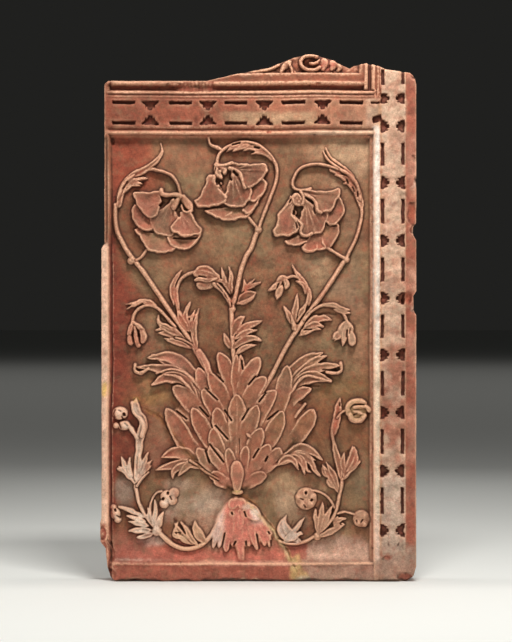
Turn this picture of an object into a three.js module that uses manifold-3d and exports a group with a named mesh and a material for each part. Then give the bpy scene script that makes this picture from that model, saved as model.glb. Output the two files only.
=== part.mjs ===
// Carved red sandstone dado panel: three nodding poppies over a clump of leaves, in a moulded frame
// with a chain of cartouches along the top and the right side. One stone, carved from the front.
//
// Millimetres. X runs across the panel from its middle line, Z up, and the carved face looks along -Y.
// The flat back lies in the plane y = 0. While the panel is carved, z counts from its foot; the last
// lines bring the middle of the height to the origin.
import * as THREE from 'three';
import { mergeVertices } from 'three/addons/utils/BufferGeometryUtils.js';
import Module from 'manifold-3d';

const wasm = await Module();
wasm.setup();

// ---- Driving dimensions -------------------------------------------------------------------------
const HEIGHT = 1268; // foot to the highest point of the broken crest
const HALF_WIDTH = 374;
const THICKNESS = 90;
const FIELD_DEPTH = 26; // how far the field lies below the front of the frame
const FIELD = THICKNESS - FIELD_DEPTH; // height of the field above the back
const ROOT = 4; // how far raised carving reaches down into the stone that carries it

// The sunk field and the steps of the frame around it
const FIELD_LEFT = -357;
const FIELD_RIGHT = 262;
const FIELD_BOTTOM = 48;
const FIELD_TOP = 1066;
const FILLET = 10; // width of the bright fillet around the field
const FILLET_DROP = 5;
const FIELD_SLOPE = 7; // how far the side of the field leans out over its depth

// The chain of cartouches
const BAND_LOW = 1098;
const BAND_HIGH = 1154;
const SIDE_BAND_IN = 290;
const SIDE_BAND_OUT = 346;
const PITCH = 138; // from one waist of the chain to the next
const CORNER = { x: 318, z: 1126 };
const SLOT = { width: 7, long: 55, short: 40, notch: 17, depth: 9 };

const STEM_STEP = 44; // length of one straight stretch of a stem

// The root crown that the leaves and stems grow from
const CROWN = { x: -54, z: 238 };

// ---- Turning geometry into solids ---------------------------------------------------------------
function solid(geometry) {
  geometry.deleteAttribute('normal');
  geometry.deleteAttribute('uv');
  const merged = mergeVertices(geometry, 1e-3);
  return new wasm.Manifold(new wasm.Mesh({
    numProp: 3,
    vertProperties: new Float32Array(merged.attributes.position.array),
    triVerts: new Uint32Array(merged.index.array),
  }));
}

// A point of the carving: x and z on the panel, and its height above the back
const at = (x, z, height) => new THREE.Vector3(x, -height, z);

// A closed mesh from points and faces of three or more corners, seen anticlockwise from outside
function faceted(points, faces) {
  const geometry = new THREE.BufferGeometry();
  geometry.setAttribute('position', new THREE.Float32BufferAttribute(points.flatMap((p) => p.toArray()), 3));
  const triangles = [];
  for (const face of faces) {
    for (let i = 1; i < face.length - 1; i += 1) triangles.push(face[0], face[i], face[i + 1]);
  }
  geometry.setIndex(triangles);
  return solid(geometry);
}

// An outline on the panel, given as [x, z] points, raised from one height to another
function plate(outline, low, high) {
  const shape = new THREE.Shape(outline.map(([x, z]) => new THREE.Vector2(x, z)));
  const geometry = new THREE.ExtrudeGeometry(shape, { depth: high - low, bevelEnabled: false });
  geometry.rotateX(Math.PI / 2);
  geometry.translate(0, -low, 0);
  return solid(geometry);
}

const rectangle = (left, bottom, right, top) => [[left, bottom], [right, bottom], [right, top], [left, top]];

// A pit with leaning sides, from its mouth at one height down to its floor
function pit(mouth, mouthHeight, floor, floorHeight) {
  const points = [
    ...mouth.map(([x, z]) => at(x, z, mouthHeight)),
    ...floor.map(([x, z]) => at(x, z, floorHeight)),
  ];
  const sides = [0, 1, 2, 3].map((i) => [i, i + 4, ((i + 1) % 4) + 4, (i + 1) % 4]);
  return faceted(points, [[0, 1, 2, 3], [7, 6, 5, 4], ...sides]);
}

// A groove of V section along X or along Z, cut from the front
function groove(along, from, to, middle, width, depth) {
  const half = width / 2;
  const top = THICKNESS + 1;
  const section = [[middle - half, top], [middle + half, top], [middle, THICKNESS - depth]];
  const place = along === 'x' ? (run, [across, h]) => at(run, across, h) : (run, [across, h]) => at(across, run, h);
  const points = [...section.map((s) => place(from, s)), ...section.map((s) => place(to, s))];
  const faces = [[0, 1, 2], [5, 4, 3], [0, 3, 4, 1], [1, 4, 5, 2], [2, 5, 3, 0]];
  return faceted(points, along === 'z' ? faces.map((f) => [...f].reverse()) : faces);
}

// ---- Forms of the carving -----------------------------------------------------------------------
// A stem that lies on the field along a curve through [x, z] points
function stem(route, width, rise, level = FIELD) {
  const curve = new THREE.CatmullRomCurve3(route.map(([x, z]) => at(x, z, level)), false, 'centripetal');
  const half = width / 2;
  const section = new THREE.Shape([
    new THREE.Vector2(-ROOT, -half), new THREE.Vector2(rise, -half / 2),
    new THREE.Vector2(rise, half / 2), new THREE.Vector2(-ROOT, half),
  ]);
  const steps = Math.max(3, Math.round(curve.getLength() / STEM_STEP));
  return solid(new THREE.ExtrudeGeometry(section, { steps, bevelEnabled: false, extrudePath: curve }));
}

// A leaf from its base to its tip: two raised edges and a middle that is sunk, or proud for a bud
function leaf({ base, tip, width, bow = 0, low = 8, high = 16, sunk = 4, full = 0.45, parts = 4 }) {
  const start = new THREE.Vector2(...base);
  const end = new THREE.Vector2(...tip);
  const run = end.clone().sub(start);
  const length = run.length();
  const side = new THREE.Vector2(-run.y, run.x).divideScalar(length);
  const bend = start.clone().add(end).multiplyScalar(0.5).addScaledVector(side, bow * length);
  const curve = new THREE.QuadraticBezierCurve(start, bend, end);
  const points = [at(...base, FIELD + low), at(...base, FIELD - ROOT)];
  for (let i = 1; i < parts; i += 1) {
    const t = i / parts;
    const middle = curve.getPoint(t);
    const tangent = curve.getTangent(t);
    const swell = Math.sin(Math.PI * t ** (Math.log(0.5) / Math.log(full)));
    const reach = new THREE.Vector2(-tangent.y, tangent.x).multiplyScalar((width / 2) * swell);
    const rim = FIELD + low + (high - low) * t;
    const left = middle.clone().add(reach);
    const right = middle.clone().sub(reach);
    points.push(at(left.x, left.y, rim), at(middle.x, middle.y, rim - sunk), at(right.x, right.y, rim));
    points.push(at(left.x, left.y, FIELD - ROOT), at(right.x, right.y, FIELD - ROOT));
  }
  points.push(at(...tip, FIELD + high), at(...tip, FIELD - ROOT));
  const row = (i) => 2 + 5 * (i - 1); // first point of section i: left, middle, right, left foot, right foot
  const last = points.length - 2;
  const faces = [
    [0, row(1) + 1, row(1)], [0, row(1) + 2, row(1) + 1], [1, row(1) + 3, row(1) + 4],
    [0, row(1), row(1) + 3, 1], [0, 1, row(1) + 4, row(1) + 2],
  ];
  for (let i = 1; i < parts - 1; i += 1) {
    const a = row(i);
    const b = row(i + 1);
    faces.push([a, a + 1, b + 1, b], [a + 1, a + 2, b + 2, b + 1], [a + 3, b + 3, b + 4, a + 4]);
    faces.push([a, b, b + 3, a + 3], [a + 2, a + 4, b + 4, b + 2]);
  }
  const c = row(parts - 1);
  faces.push([c, c + 1, last], [c + 1, c + 2, last], [c + 3, last + 1, c + 4]);
  faces.push([c, last, last + 1, c + 3], [c + 2, c + 4, last + 1, last]);
  return faceted(points, faces);
}

// A petal that opens like a fan from its root to a rim through [x, z] points, with a lip along the rim
function petal({ root, rim, low = 14, high = 20, lip = 3, steps = 5 }) {
  const curve = new THREE.SplineCurve(rim.map(([x, z]) => new THREE.Vector2(x, z)));
  const heart = new THREE.Vector2(...root);
  const edge = curve.getPoints(steps);
  if (THREE.ShapeUtils.area([heart, ...edge]) > 0) edge.reverse();
  const inner = edge.map((p) => heart.clone().lerp(p, 0.84));
  const points = [at(...root, FIELD + low), at(...root, FIELD - ROOT)];
  for (let i = 0; i <= steps; i += 1) {
    points.push(at(inner[i].x, inner[i].y, FIELD + high - lip));
    points.push(at(edge[i].x, edge[i].y, FIELD + high), at(edge[i].x, edge[i].y, FIELD - ROOT));
  }
  const row = (i) => 2 + 3 * i; // inner, rim, foot
  const faces = [];
  for (let i = 0; i < steps; i += 1) {
    const a = row(i);
    const b = row(i + 1);
    faces.push([0, b, a], [a, b, b + 1, a + 1], [a + 1, b + 1, b + 2, a + 2], [1, a + 2, b + 2]);
  }
  const a = row(0);
  const b = row(steps);
  faces.push([0, a, a + 1, a + 2, 1], [0, 1, b + 2, b + 1, b]);
  return faceted(points, faces);
}

// A round flower seen from the front: a low dome with its drilled eyes
function roundel(x, z, radius, rise, eyes = [], sides = 8) {
  const profile = [[0, -ROOT], [radius, -ROOT], [radius, rise * 0.55], [radius * 0.5, rise], [0, rise]];
  const geometry = new THREE.LatheGeometry(profile.map(([r, h]) => new THREE.Vector2(r, h)), sides);
  geometry.rotateX(Math.PI);
  geometry.translate(x, -FIELD, z);
  let made = solid(geometry);
  for (const [dx, dz] of eyes) {
    const drill = new THREE.CylinderGeometry(3.5, 3.5, 20, 5);
    drill.translate(x + dx, -FIELD - rise, z + dz);
    made = made.subtract(solid(drill));
  }
  return made;
}

// ---- The stone: its broken outline --------------------------------------------------------------
const OUTLINE = [
  [-352, 0], [354, 0], [368, 12], [HALF_WIDTH, 34],
  [HALF_WIDTH, 640], [368, 652], [367, 686], [HALF_WIDTH, 698], // chips in the right edge
  [HALF_WIDTH, 820], [367, 832], [366, 850], [HALF_WIDTH, 862],
  [HALF_WIDTH, 1196], [371, 1212], [361, 1222], [300, 1231], [284, 1239], [255, 1245], [226, 1241], [215, 1233],
  [200, 1241], [170, 1256], [140, 1265], [112, HEIGHT], [80, 1261], [58, 1252], [22, 1237], [-50, 1222],
  [-100, 1210], [-130, 1203], [-368, 1203], [-375, 1195],
  [-375, 812], [-382, 800], [-382, 152], [-386, 140], [-385, 96], [-373, 78], [-368, 30], [-362, 8],
];

// ---- What is cut away ---------------------------------------------------------------------------
const cuts = [
  // the fillet around the field, one step down, and the field itself
  pit(
    rectangle(FIELD_LEFT - FILLET, FIELD_BOTTOM - 4, FIELD_RIGHT + FILLET + FIELD_SLOPE, FIELD_TOP + FILLET),
    THICKNESS + 1,
    rectangle(FIELD_LEFT - FILLET + 2, FIELD_BOTTOM - 2, FIELD_RIGHT + FILLET, FIELD_TOP + FILLET - 3),
    THICKNESS - FILLET_DROP,
  ),
  pit(
    rectangle(FIELD_LEFT - FIELD_SLOPE, FIELD_BOTTOM - 3, FIELD_RIGHT + FIELD_SLOPE, FIELD_TOP + FIELD_SLOPE - 2),
    THICKNESS,
    rectangle(FIELD_LEFT, FIELD_BOTTOM + 4, FIELD_RIGHT, FIELD_TOP),
    FIELD,
  ),
  // cove and lines of the moulding over the chain, which turn up before the right side band
  pit(
    rectangle(-362, 1176, 266, 1193), THICKNESS + 1,
    rectangle(-356, 1181, 260, 1188), THICKNESS - 12,
  ),
  pit(
    rectangle(254, 1178, 270, 1300), THICKNESS + 1,
    rectangle(258, 1183, 266, 1300), THICKNESS - 12,
  ),
  groove('x', -376, 274, 1169, 5, 4),
  groove('z', 1169, 1300, 276, 5, 4),
  groove('x', -376, 286, 1161, 4, 3),
  groove('z', 1161, 1300, 288, 4, 3),
  groove('x', -376, 284, 1088, 5, 3),
  // the sunk ground of the carved register that once went on above
  plate(rectangle(-400, 1222, 236, 1300), THICKNESS - 11, THICKNESS + 1),
  // narrow moulding down the left edge above the break
  groove('z', 812, 1066, -365, 7, 5),
];

// The openwork ground beside the chain: long slots beside each cartouche, and short slots with a
// notch that pinches the chain to a waist. `across` turns band measures into x and z.
function chainSlots(across, waists, middles) {
  const floor = THICKNESS - SLOT.depth;
  const half = (BAND_HIGH - BAND_LOW) / 2;
  for (const side of [-1, 1]) {
    const outer = side * half;
    const inner = side * (half - SLOT.width);
    const tip = side * (half - SLOT.width - SLOT.notch);
    for (const m of middles) {
      const reach = SLOT.long / 2;
      const outline = [[m - reach, inner], [m + reach, inner], [m + reach, outer], [m - reach, outer]];
      cuts.push(plate(outline.map(([run, off]) => across(run, off)), floor, THICKNESS + 1));
    }
    for (const w of waists) {
      const reach = SLOT.short / 2;
      const outline = [
        [w - reach, inner], [w - reach / 2, inner], [w, tip], [w + reach / 2, inner], [w + reach, inner],
        [w + reach, outer], [w - reach, outer],
      ];
      cuts.push(plate(outline.map(([run, off]) => across(run, off)), floor, THICKNESS + 1));
    }
  }
}

const BAND_MIDDLE = (BAND_LOW + BAND_HIGH) / 2;
const SIDE_MIDDLE = (SIDE_BAND_IN + SIDE_BAND_OUT) / 2;
const FIRST_WAIST = CORNER.x - 31 - PITCH;
const topWaists = [0, 1, 2, 3].map((i) => FIRST_WAIST - i * PITCH);
const topMiddles = [0, 1, 2, 3, 4].map((i) => FIRST_WAIST + PITCH / 2 - i * PITCH);
const sideWaists = [0, 1, 2, 3, 4, 5, 6, 7].map((i) => CORNER.z - 33 - i * (PITCH + 1));
const sideMiddles = sideWaists.slice(0, 7).map((z) => z - (PITCH + 1) / 2);
chainSlots((run, off) => [run, BAND_MIDDLE + off], topWaists, topMiddles);
chainSlots((run, off) => [SIDE_MIDDLE + off, run], [CORNER.z + 33, ...sideWaists], sideMiddles);
cuts.push(plate([[268, 1108], [288, 1098], [288, 1119], [276, 1116]], THICKNESS - SLOT.depth, THICKNESS + 1));
cuts.push(plate(rectangle(290, 1194, 297, 1226), THICKNESS - SLOT.depth, THICKNESS + 1));
cuts.push(plate(rectangle(339, 1192, 346, 1214), THICKNESS - SLOT.depth, THICKNESS + 1));

// ---- What stands on the field -------------------------------------------------------------------
const raised = [];
const leaves = (list, common) => list.forEach((one) => raised.push(leaf({ ...common, ...one })));
const petals = (list) => list.forEach((one) => raised.push(petal(one)));

// Basal leaves: each rank points away from the crown, the front ranks stand higher
const RANKS = [
  { length: 118, width: 34, low: 8, high: 17, tips: [[-102, 549], [-47, 538], [-2, 537]] },
  { length: 120, width: 33, low: 8, high: 18, tips: [[-125, 500], [13, 490], [63, 513], [-157, 511]] },
  { length: 112, width: 34, low: 10, high: 19, tips: [[-101, 416], [-58, 458], [37, 458], [-145, 459], [-7, 419]] },
  { length: 106, width: 36, low: 10, high: 20, tips: [[-209, 468], [-162, 416], [51, 406], [-229, 412], [127, 414]] },
  { length: 92, width: 34, low: 12, high: 21, tips: [[-115, 370], [3, 367], [-152, 319], [46, 320]] },
  { length: 80, width: 32, low: 12, high: 22, tips: [[21, 328], [-55, 350], [-88, 300]] },
];
for (const rank of RANKS) {
  for (const tip of rank.tips) {
    const away = new THREE.Vector2(tip[0] - CROWN.x, tip[1] - CROWN.z);
    const base = away.clone().setLength(Math.max(away.length() - rank.length, 4));
    leaves([{ base: [CROWN.x + base.x, CROWN.z + base.y], tip, bow: -Math.sign(away.x) * 0.05 }], rank);
  }
}
raised.push(roundel(-52, 216, 18, 18));

// The large lobed leaves at either side of the clump
leaves([
  { base: [-140, 400], tip: [-262, 538], width: 44, bow: -0.1 },
  { base: [-150, 420], tip: [-303, 512], width: 46, bow: -0.12 },
  { base: [-150, 420], tip: [-262, 474], width: 34, bow: 0.12 },
  { base: [-120, 420], tip: [-222, 526], width: 36, bow: -0.08 },
  { base: [40, 400], tip: [165, 558], width: 44, bow: 0.1 },
  { base: [60, 420], tip: [197, 512], width: 42, bow: 0.12 },
  { base: [70, 420], tip: [168, 492], width: 36, bow: -0.1 },
  { base: [20, 420], tip: [118, 545], width: 36, bow: 0.08 },
], { low: 8, high: 17 });

// The lower leaves, whose lobes hang down at either side of the crown
leaves([
  { base: [-80, 258], tip: [-244, 284], width: 32, bow: 0.08 },
  { base: [-90, 256], tip: [-246, 254], width: 26, bow: -0.14 },
  { base: [-90, 250], tip: [-214, 240], width: 24, bow: -0.16 },
  { base: [-20, 256], tip: [168, 276], width: 32, bow: -0.1 },
  { base: [-10, 256], tip: [156, 242], width: 28, bow: 0.14 },
  { base: [-10, 250], tip: [110, 254], width: 26, bow: 0.1 },
], { low: 10, high: 18 });

// Root clump: leaf tips that hang down and spread from under the crown
const TAILS = 5;
for (let i = 0; i < TAILS; i += 1) {
  const turn = i - (TAILS - 1) / 2;
  leaves([{ base: [-58, 197], tip: [-44 + turn * 36, 80 + 9 * Math.abs(turn)], width: 42, bow: turn * -0.05 }], {
    low: 20, high: 14, sunk: 3, full: 0.6,
  });
}
leaves([{ base: [-52, 120], tip: [-50, 38], width: 44, low: 16, high: 8, sunk: -2, parts: 3 }], {});

// Main stems with their nodes
const STEM = { width: 13, rise: 15 };
const mainStems = [
  [[-118, 486], [-170, 570], [-240, 665], [-306, 768], [-340, 830], [-352, 890], [-345, 945], [-312, 984],
    [-270, 996], [-232, 988], [-206, 962], [-194, 928], [-200, 908]],
  [[-62, 520], [-62, 600], [-50, 700], [-22, 800], [-4, 850], [20, 900], [38, 955], [36, 1005], [10, 1044],
    [-30, 1058], [-75, 1052], [-100, 1026], [-104, 996], [-96, 978]],
  [[16, 472], [55, 550], [110, 640], [160, 712], [206, 775], [236, 832], [245, 890], [234, 944], [204, 984],
    [165, 1000], [122, 1001], [90, 984], [78, 955], [86, 924]],
];
for (const route of mainStems) raised.push(stem(route, STEM.width, STEM.rise));
for (const [x, z] of [[-306, 768], [-170, 570], [-4, 850], [206, 775], [85, 600]]) {
  raised.push(roundel(x, z, 11, 17, [], 6));
}

// Side shoots
const SHOOT = { width: 9, rise: 11 };
const shoots = [
  [[-176, 590], [-225, 640], [-262, 662], [-295, 645], [-306, 618], [-302, 600]],
  [[-172, 575], [-176, 620], [-200, 660], [-206, 700], [-190, 738], [-160, 748], [-150, 738]],
  [[-62, 585], [-70, 640], [-100, 700], [-96, 735]],
  [[70, 585], [100, 640], [110, 695], [90, 735], [62, 735], [48, 712]],
  [[92, 600], [130, 655], [165, 668], [198, 650], [210, 622]],
  [[-120, 122], [-160, 86], [-205, 80], [-249, 122], [-290, 182], [-308, 245], [-300, 300], [-288, 360], [-292, 396],
    [-311, 435]],
  [[-249, 122], [-268, 150], [-264, 190], [-240, 204]],
  [[-296, 320], [-312, 368], [-340, 388]],
  [[-290, 182], [-325, 186], [-345, 168]],
  [[20, 118], [65, 92], [105, 88], [138, 110], [182, 157], [191, 205], [189, 255], [182, 300], [173, 352], [178, 390],
    [193, 430]],
  [[172, 145], [160, 178], [130, 190]],
  [[176, 380], [200, 404], [224, 412]],
  [[190, 205], [214, 180], [238, 156]],
];
for (const route of shoots) raised.push(stem(route, SHOOT.width, SHOOT.rise));

// Leaves of the shoots and stems: [base, tip, width, bow]
const sprays = [
  [[-256, 662], [-326, 664], 15, -0.1],
  [[-175, 575], [-254, 606], 28, -0.1], [[-200, 590], [-252, 636], 22, 0.1],
  [[-172, 575], [-150, 662], 18, -0.1], [[-185, 620], [-168, 672], 14, -0.1],
  [[-66, 640], [-98, 752], 20, 0.1], [[-60, 640], [-8, 732], 22, -0.1],
  [[-54, 660], [-36, 742], 20, 0], [[-56, 620], [2, 714], 20, -0.12],
  [[-64, 560], [-4, 642], 24, -0.12], [[-64, 550], [-6, 604], 22, -0.16], [[-66, 560], [-50, 652], 20, 0.05],
  [[-72, 560], [-104, 612], 20, 0.1],
  [[90, 600], [64, 664], 18, 0.1], [[96, 610], [82, 694], 18, 0.1],
  [[88, 596], [170, 642], 28, 0.14], [[105, 690], [76, 758], 16, -0.16],
  // along the hooks of the three main stems
  [[-347, 925], [-312, 962], 20, 0.12], [[-330, 960], [-276, 962], 20, -0.1], [[-300, 985], [-240, 1056], 20, -0.2],
  [[20, 1030], [-70, 1036], 18, 0.1], [[-80, 1050], [-124, 1064], 14, 0.2],
  [[236, 920], [196, 962], 18, -0.1], [[226, 960], [174, 980], 18, 0.1], [[205, 985], [152, 1050], 18, 0.2],
  // the two scrolls in the lower corners
  [[-140, 100], [-216, 128], 26, -0.1], [[-130, 105], [-164, 146], 20, 0],
  [[-255, 128], [-330, 132], 20, 0.1],
  [[-303, 230], [-345, 296], 22, 0.1], [[-306, 240], [-322, 316], 18, 0], [[-300, 240], [-256, 304], 22, -0.1],
  [[50, 100], [108, 146], 24, 0.08], [[40, 104], [72, 150], 20, 0],
  [[150, 124], [128, 188], 20, -0.1], [[160, 134], [158, 188], 16, 0],
  [[188, 250], [242, 262], 22, 0.1], [[186, 262], [238, 318], 22, -0.1], [[186, 206], [152, 262], 22, -0.1],
];
leaves(sprays.map(([base, tip, width, bow]) => ({ base, tip, width, bow })), { low: 7, high: 13, sunk: 3, parts: 3 });

// Closed buds and bells: [base, tip, width]
const buds = [
  [[-303, 618], [-308, 560], 34], [[-296, 618], [-286, 566], 26], [[-164, 734], [-98, 736], 46],
  [[48, 716], [40, 682], 30], [[212, 628], [212, 560], 40], [[90, 932], [84, 900], 30], [[-104, 992], [-90, 968], 26],
];
leaves(buds.map(([base, tip, width]) => ({ base, tip, width })), { low: 12, high: 14, sunk: -4 });

// Round flowers and buds of the scrolls: x, z, radius, eyes
const rounds = [
  [-344, 394, 25, [[0, 4]]], [-222, 194, 28, [[-7, 3], [8, -2]]], [-350, 160, 18, []],
  [110, 197, 27, [[-7, 4], [8, 2]]], [232, 413, 23, []], [243, 149, 19, []],
];
for (const [x, z, radius, eyes] of rounds) raised.push(roundel(x, z, radius, 14, eyes));

// The three nodding flowers. Petals lie over each other from the back to the front.
petals([
  { root: [-225, 880], rim: [[-300, 932], [-311, 905], [-309, 872], [-292, 850], [-262, 838]], low: 8, high: 10 },
  { root: [-225, 870], rim: [[-300, 850], [-288, 820], [-270, 799], [-238, 793], [-212, 802]], low: 8, high: 9 },
  { root: [-195, 880], rim: [[-232, 846], [-222, 822], [-210, 807], [-190, 801], [-165, 810], [-146, 836]], low: 9, high: 12 },
  { root: [-196, 908], rim: [[-236, 940], [-212, 932], [-190, 930], [-170, 902], [-152, 868], [-139, 846]], low: 20, high: 13 },
  { root: [-205, 905], rim: [[-246, 880], [-240, 856], [-222, 846], [-205, 850]], low: 18, high: 14 },
  { root: [-230, 905], rim: [[-246, 938], [-300, 934], [-296, 905], [-280, 880], [-256, 877]], low: 17, high: 18 },
  { root: [-190, 894], rim: [[-205, 864], [-216, 848], [-198, 836], [-172, 829], [-141, 838]], low: 19, high: 19 },
]);
petals([
  { root: [-80, 950], rim: [[-134, 893], [-110, 878], [-80, 870], [-55, 868], [-30, 880]], low: 8, high: 10 },
  { root: [-70, 950], rim: [[-30, 878], [-6, 902], [-14, 918], [10, 936], [14, 962]], low: 8, high: 11 },
  { root: [-104, 976], rim: [[-138, 945], [-146, 918], [-160, 912], [-146, 898], [-110, 900]], low: 18, high: 17 },
  { root: [-84, 970], rim: [[-108, 950], [-88, 908], [-60, 899], [-38, 906], [-20, 944]], low: 14, high: 16 },
  { root: [-68, 990], rim: [[-40, 950], [-22, 948], [-2, 966], [16, 990], [12, 1003], [-50, 1000]], low: 18, high: 19 },
]);
petals([
  { root: [95, 880], rim: [[62, 826], [72, 808], [98, 805], [124, 820]], low: 8, high: 9 },
  { root: [130, 870], rim: [[102, 804], [118, 794], [140, 798], [164, 800]], low: 8, high: 10 },
  { root: [130, 870], rim: [[160, 802], [180, 826], [190, 844], [184, 858]], low: 9, high: 12 },
  { root: [140, 890], rim: [[150, 856], [180, 856], [202, 880], [202, 905], [186, 922]], low: 9, high: 14 },
  { root: [80, 926], rim: [[58, 898], [42, 870], [34, 842], [42, 831], [80, 832]], low: 18, high: 16 },
  { root: [100, 915], rim: [[84, 876], [98, 850], [106, 834], [130, 836], [146, 838], [160, 862]], low: 14, high: 16 },
  { root: [108, 935], rim: [[140, 888], [165, 892], [178, 906], [190, 930], [186, 942], [120, 942]], low: 18, high: 19 },
]);
for (const route of [[[-274, 794], [-300, 768]], [[-24, 872], [-4, 850]], [[164, 802], [204, 772]]]) {
  raised.push(stem([route[0], [(route[0][0] + route[1][0]) / 2, (route[0][1] + route[1][1]) / 2], route[1]], 7, 9));
}

// What is left of the foliage in the register above: a curl and two stumps of leaves
const CREST_ROOT = THICKNESS - 20;
function crestLump(outline, high) {
  return plate(outline, CREST_ROOT, high);
}
const crest = [
  crestLump([[96, 1240], [108, 1232], [136, 1232], [140, 1256], [126, 1264], [110, 1266], [98, 1258]], THICKNESS - 1),
  crestLump([[50, 1224], [74, 1224], [80, 1258], [62, 1252], [52, 1244]], THICKNESS - 3),
  crestLump([[142, 1224], [176, 1224], [180, 1249], [160, 1258], [142, 1262]], THICKNESS - 2),
];

// ---- One stone ----------------------------------------------------------------------------------
const stone = plate(OUTLINE, 0, THICKNESS)
  .subtract(wasm.Manifold.union(cuts))
  .add(wasm.Manifold.union([...raised, ...crest]));

const carved = stone.getMesh();
const geometry = new THREE.BufferGeometry();
geometry.setAttribute('position', new THREE.BufferAttribute(carved.vertProperties, 3));
geometry.setIndex(new THREE.BufferAttribute(carved.triVerts, 1));
geometry.computeVertexNormals();

const sandstone = new THREE.MeshStandardMaterial({ color: 0x9a5f4a, roughness: 0.85, metalness: 0 });
const panel = new THREE.Mesh(geometry, sandstone);
panel.name = 'relief_panel';
panel.position.z = -HEIGHT / 2;

const part = new THREE.Group();
part.add(panel);

export default part;
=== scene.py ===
"""Carved red sandstone dado panel: three nodding poppies over a clump of leaves, in a moulded frame with
a chain of cartouches. One stone. The relief is sculpted as a map of heights over the panel, laid on the
stone's broken outline, closed with walls and a back, and thinned to one mesh."""
import math

import bpy
import numpy as np
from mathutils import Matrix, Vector


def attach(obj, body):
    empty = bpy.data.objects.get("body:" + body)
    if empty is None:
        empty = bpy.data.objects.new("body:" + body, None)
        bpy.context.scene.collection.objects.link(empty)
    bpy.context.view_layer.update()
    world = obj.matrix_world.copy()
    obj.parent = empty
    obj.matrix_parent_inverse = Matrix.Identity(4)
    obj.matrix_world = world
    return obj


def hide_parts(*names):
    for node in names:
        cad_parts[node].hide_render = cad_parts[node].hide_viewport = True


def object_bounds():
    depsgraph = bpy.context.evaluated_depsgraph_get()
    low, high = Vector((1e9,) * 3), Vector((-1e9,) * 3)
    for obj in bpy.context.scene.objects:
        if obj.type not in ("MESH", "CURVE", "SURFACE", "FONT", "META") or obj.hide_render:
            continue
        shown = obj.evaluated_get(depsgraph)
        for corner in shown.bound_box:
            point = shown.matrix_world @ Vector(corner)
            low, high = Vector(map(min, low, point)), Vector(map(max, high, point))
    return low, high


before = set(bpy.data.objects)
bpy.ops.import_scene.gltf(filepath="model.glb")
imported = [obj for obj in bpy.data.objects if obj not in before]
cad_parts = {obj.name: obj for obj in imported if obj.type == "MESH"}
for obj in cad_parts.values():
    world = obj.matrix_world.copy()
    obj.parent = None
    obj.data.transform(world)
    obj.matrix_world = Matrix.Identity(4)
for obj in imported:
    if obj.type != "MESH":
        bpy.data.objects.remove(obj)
size_at_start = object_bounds()

# ---- Panel measures, in millimetres: x from the middle line, z from the foot, height from the back
FRONT = 90.0
FIELD = 64.0
CREST = 1268.0
MM = 0.001

# ---- The sculpting grid: one height for each millimetre of the carved face -----------------------
STEP = 1.0
X_MIN, Z_MIN = -392.0, -6.0
COLUMNS, ROWS = 776, 1284
SEED = 1630
X, Z = np.meshgrid(X_MIN + STEP * np.arange(COLUMNS), Z_MIN + STEP * np.arange(ROWS))
rng = np.random.default_rng(SEED)


def smooth(value):
    """0 to 1 with soft ends."""
    value = np.clip(value, 0.0, 1.0)
    return value * value * (3.0 - 2.0 * value)


def bell(value):
    """1 at nothing, falling away to 0 on both sides."""
    return np.exp(-(value**2))


def blur(field, radius):
    """Gaussian blur of a map, radius in millimetres."""
    kz = np.fft.fftfreq(field.shape[0], STEP)[:, None]
    kx = np.fft.rfftfreq(field.shape[1], STEP)[None, :]
    keep = np.exp(-2.0 * (math.pi * radius) ** 2 * (kx * kx + kz * kz))
    return np.fft.irfft2(np.fft.rfft2(field) * keep, s=field.shape)


def grain(radius):
    """Smooth random map with lumps of about this radius, mean 0 and deviation 1."""
    rough = blur(rng.standard_normal((ROWS, COLUMNS)), radius)
    return (rough - rough.mean()) / rough.std()


def spline(points, spacing=3.5):
    """A smooth route through given points."""
    knots = np.asarray(points, float)
    ends = np.vstack([2 * knots[0] - knots[1], knots, 2 * knots[-1] - knots[-2]])
    route = []
    for i in range(len(knots) - 1):
        a, b, c, d = ends[i:i + 4]
        count = max(2, int(math.dist(b, c) / spacing))
        t = (np.arange(count) / count)[:, None]
        route.append(0.5 * (2 * b + (c - a) * t + (2 * a - 5 * b + 4 * c - d) * t**2
                            + (3 * b - a - 3 * c + d) * t**3))
    route.append(knots[-1:])
    return np.vstack(route)


def window(route, reach):
    """The part of the grid within reach of a route."""
    low = (np.min(route, 0) - reach - (X_MIN, Z_MIN)) / STEP
    high = (np.max(route, 0) + reach - (X_MIN, Z_MIN)) / STEP
    across = slice(max(0, int(low[0])), min(COLUMNS, int(high[0]) + 2))
    up = slice(max(0, int(low[1])), min(ROWS, int(high[1]) + 2))
    return up, across


FAR = 1e6
TINY = 1e-9


def nearest(route, reach):
    """Around a route: the window, each point's distance to it, on which side, and how far along."""
    where = window(route, reach)
    shape = X[where].shape
    best, side, place = np.full(shape, FAR), np.zeros(shape), np.zeros(shape)
    steps = np.diff(route, axis=0)
    lengths = np.hypot(steps[:, 0], steps[:, 1]) + TINY
    starts = np.concatenate([[0.0], np.cumsum(lengths)])
    for i, (dx, dz) in enumerate(steps):
        part = window(route[i:i + 2], reach)
        inner = tuple(slice(p.start - w.start, p.stop - w.start) for p, w in zip(part, where))
        x, z = X[part] - route[i, 0], Z[part] - route[i, 1]
        t = np.clip((x * dx + z * dz) / lengths[i] ** 2, 0.0, 1.0)
        away = np.hypot(x - t * dx, z - t * dz)
        closer = away < best[inner]
        best[inner] = np.where(closer, away, best[inner])
        side[inner] = np.where(closer, np.sign(dx * z - dz * x), side[inner])
        place[inner] = np.where(closer, starts[i] + t * lengths[i], place[inner])
    return where, best, side, place / starts[-1]


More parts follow.
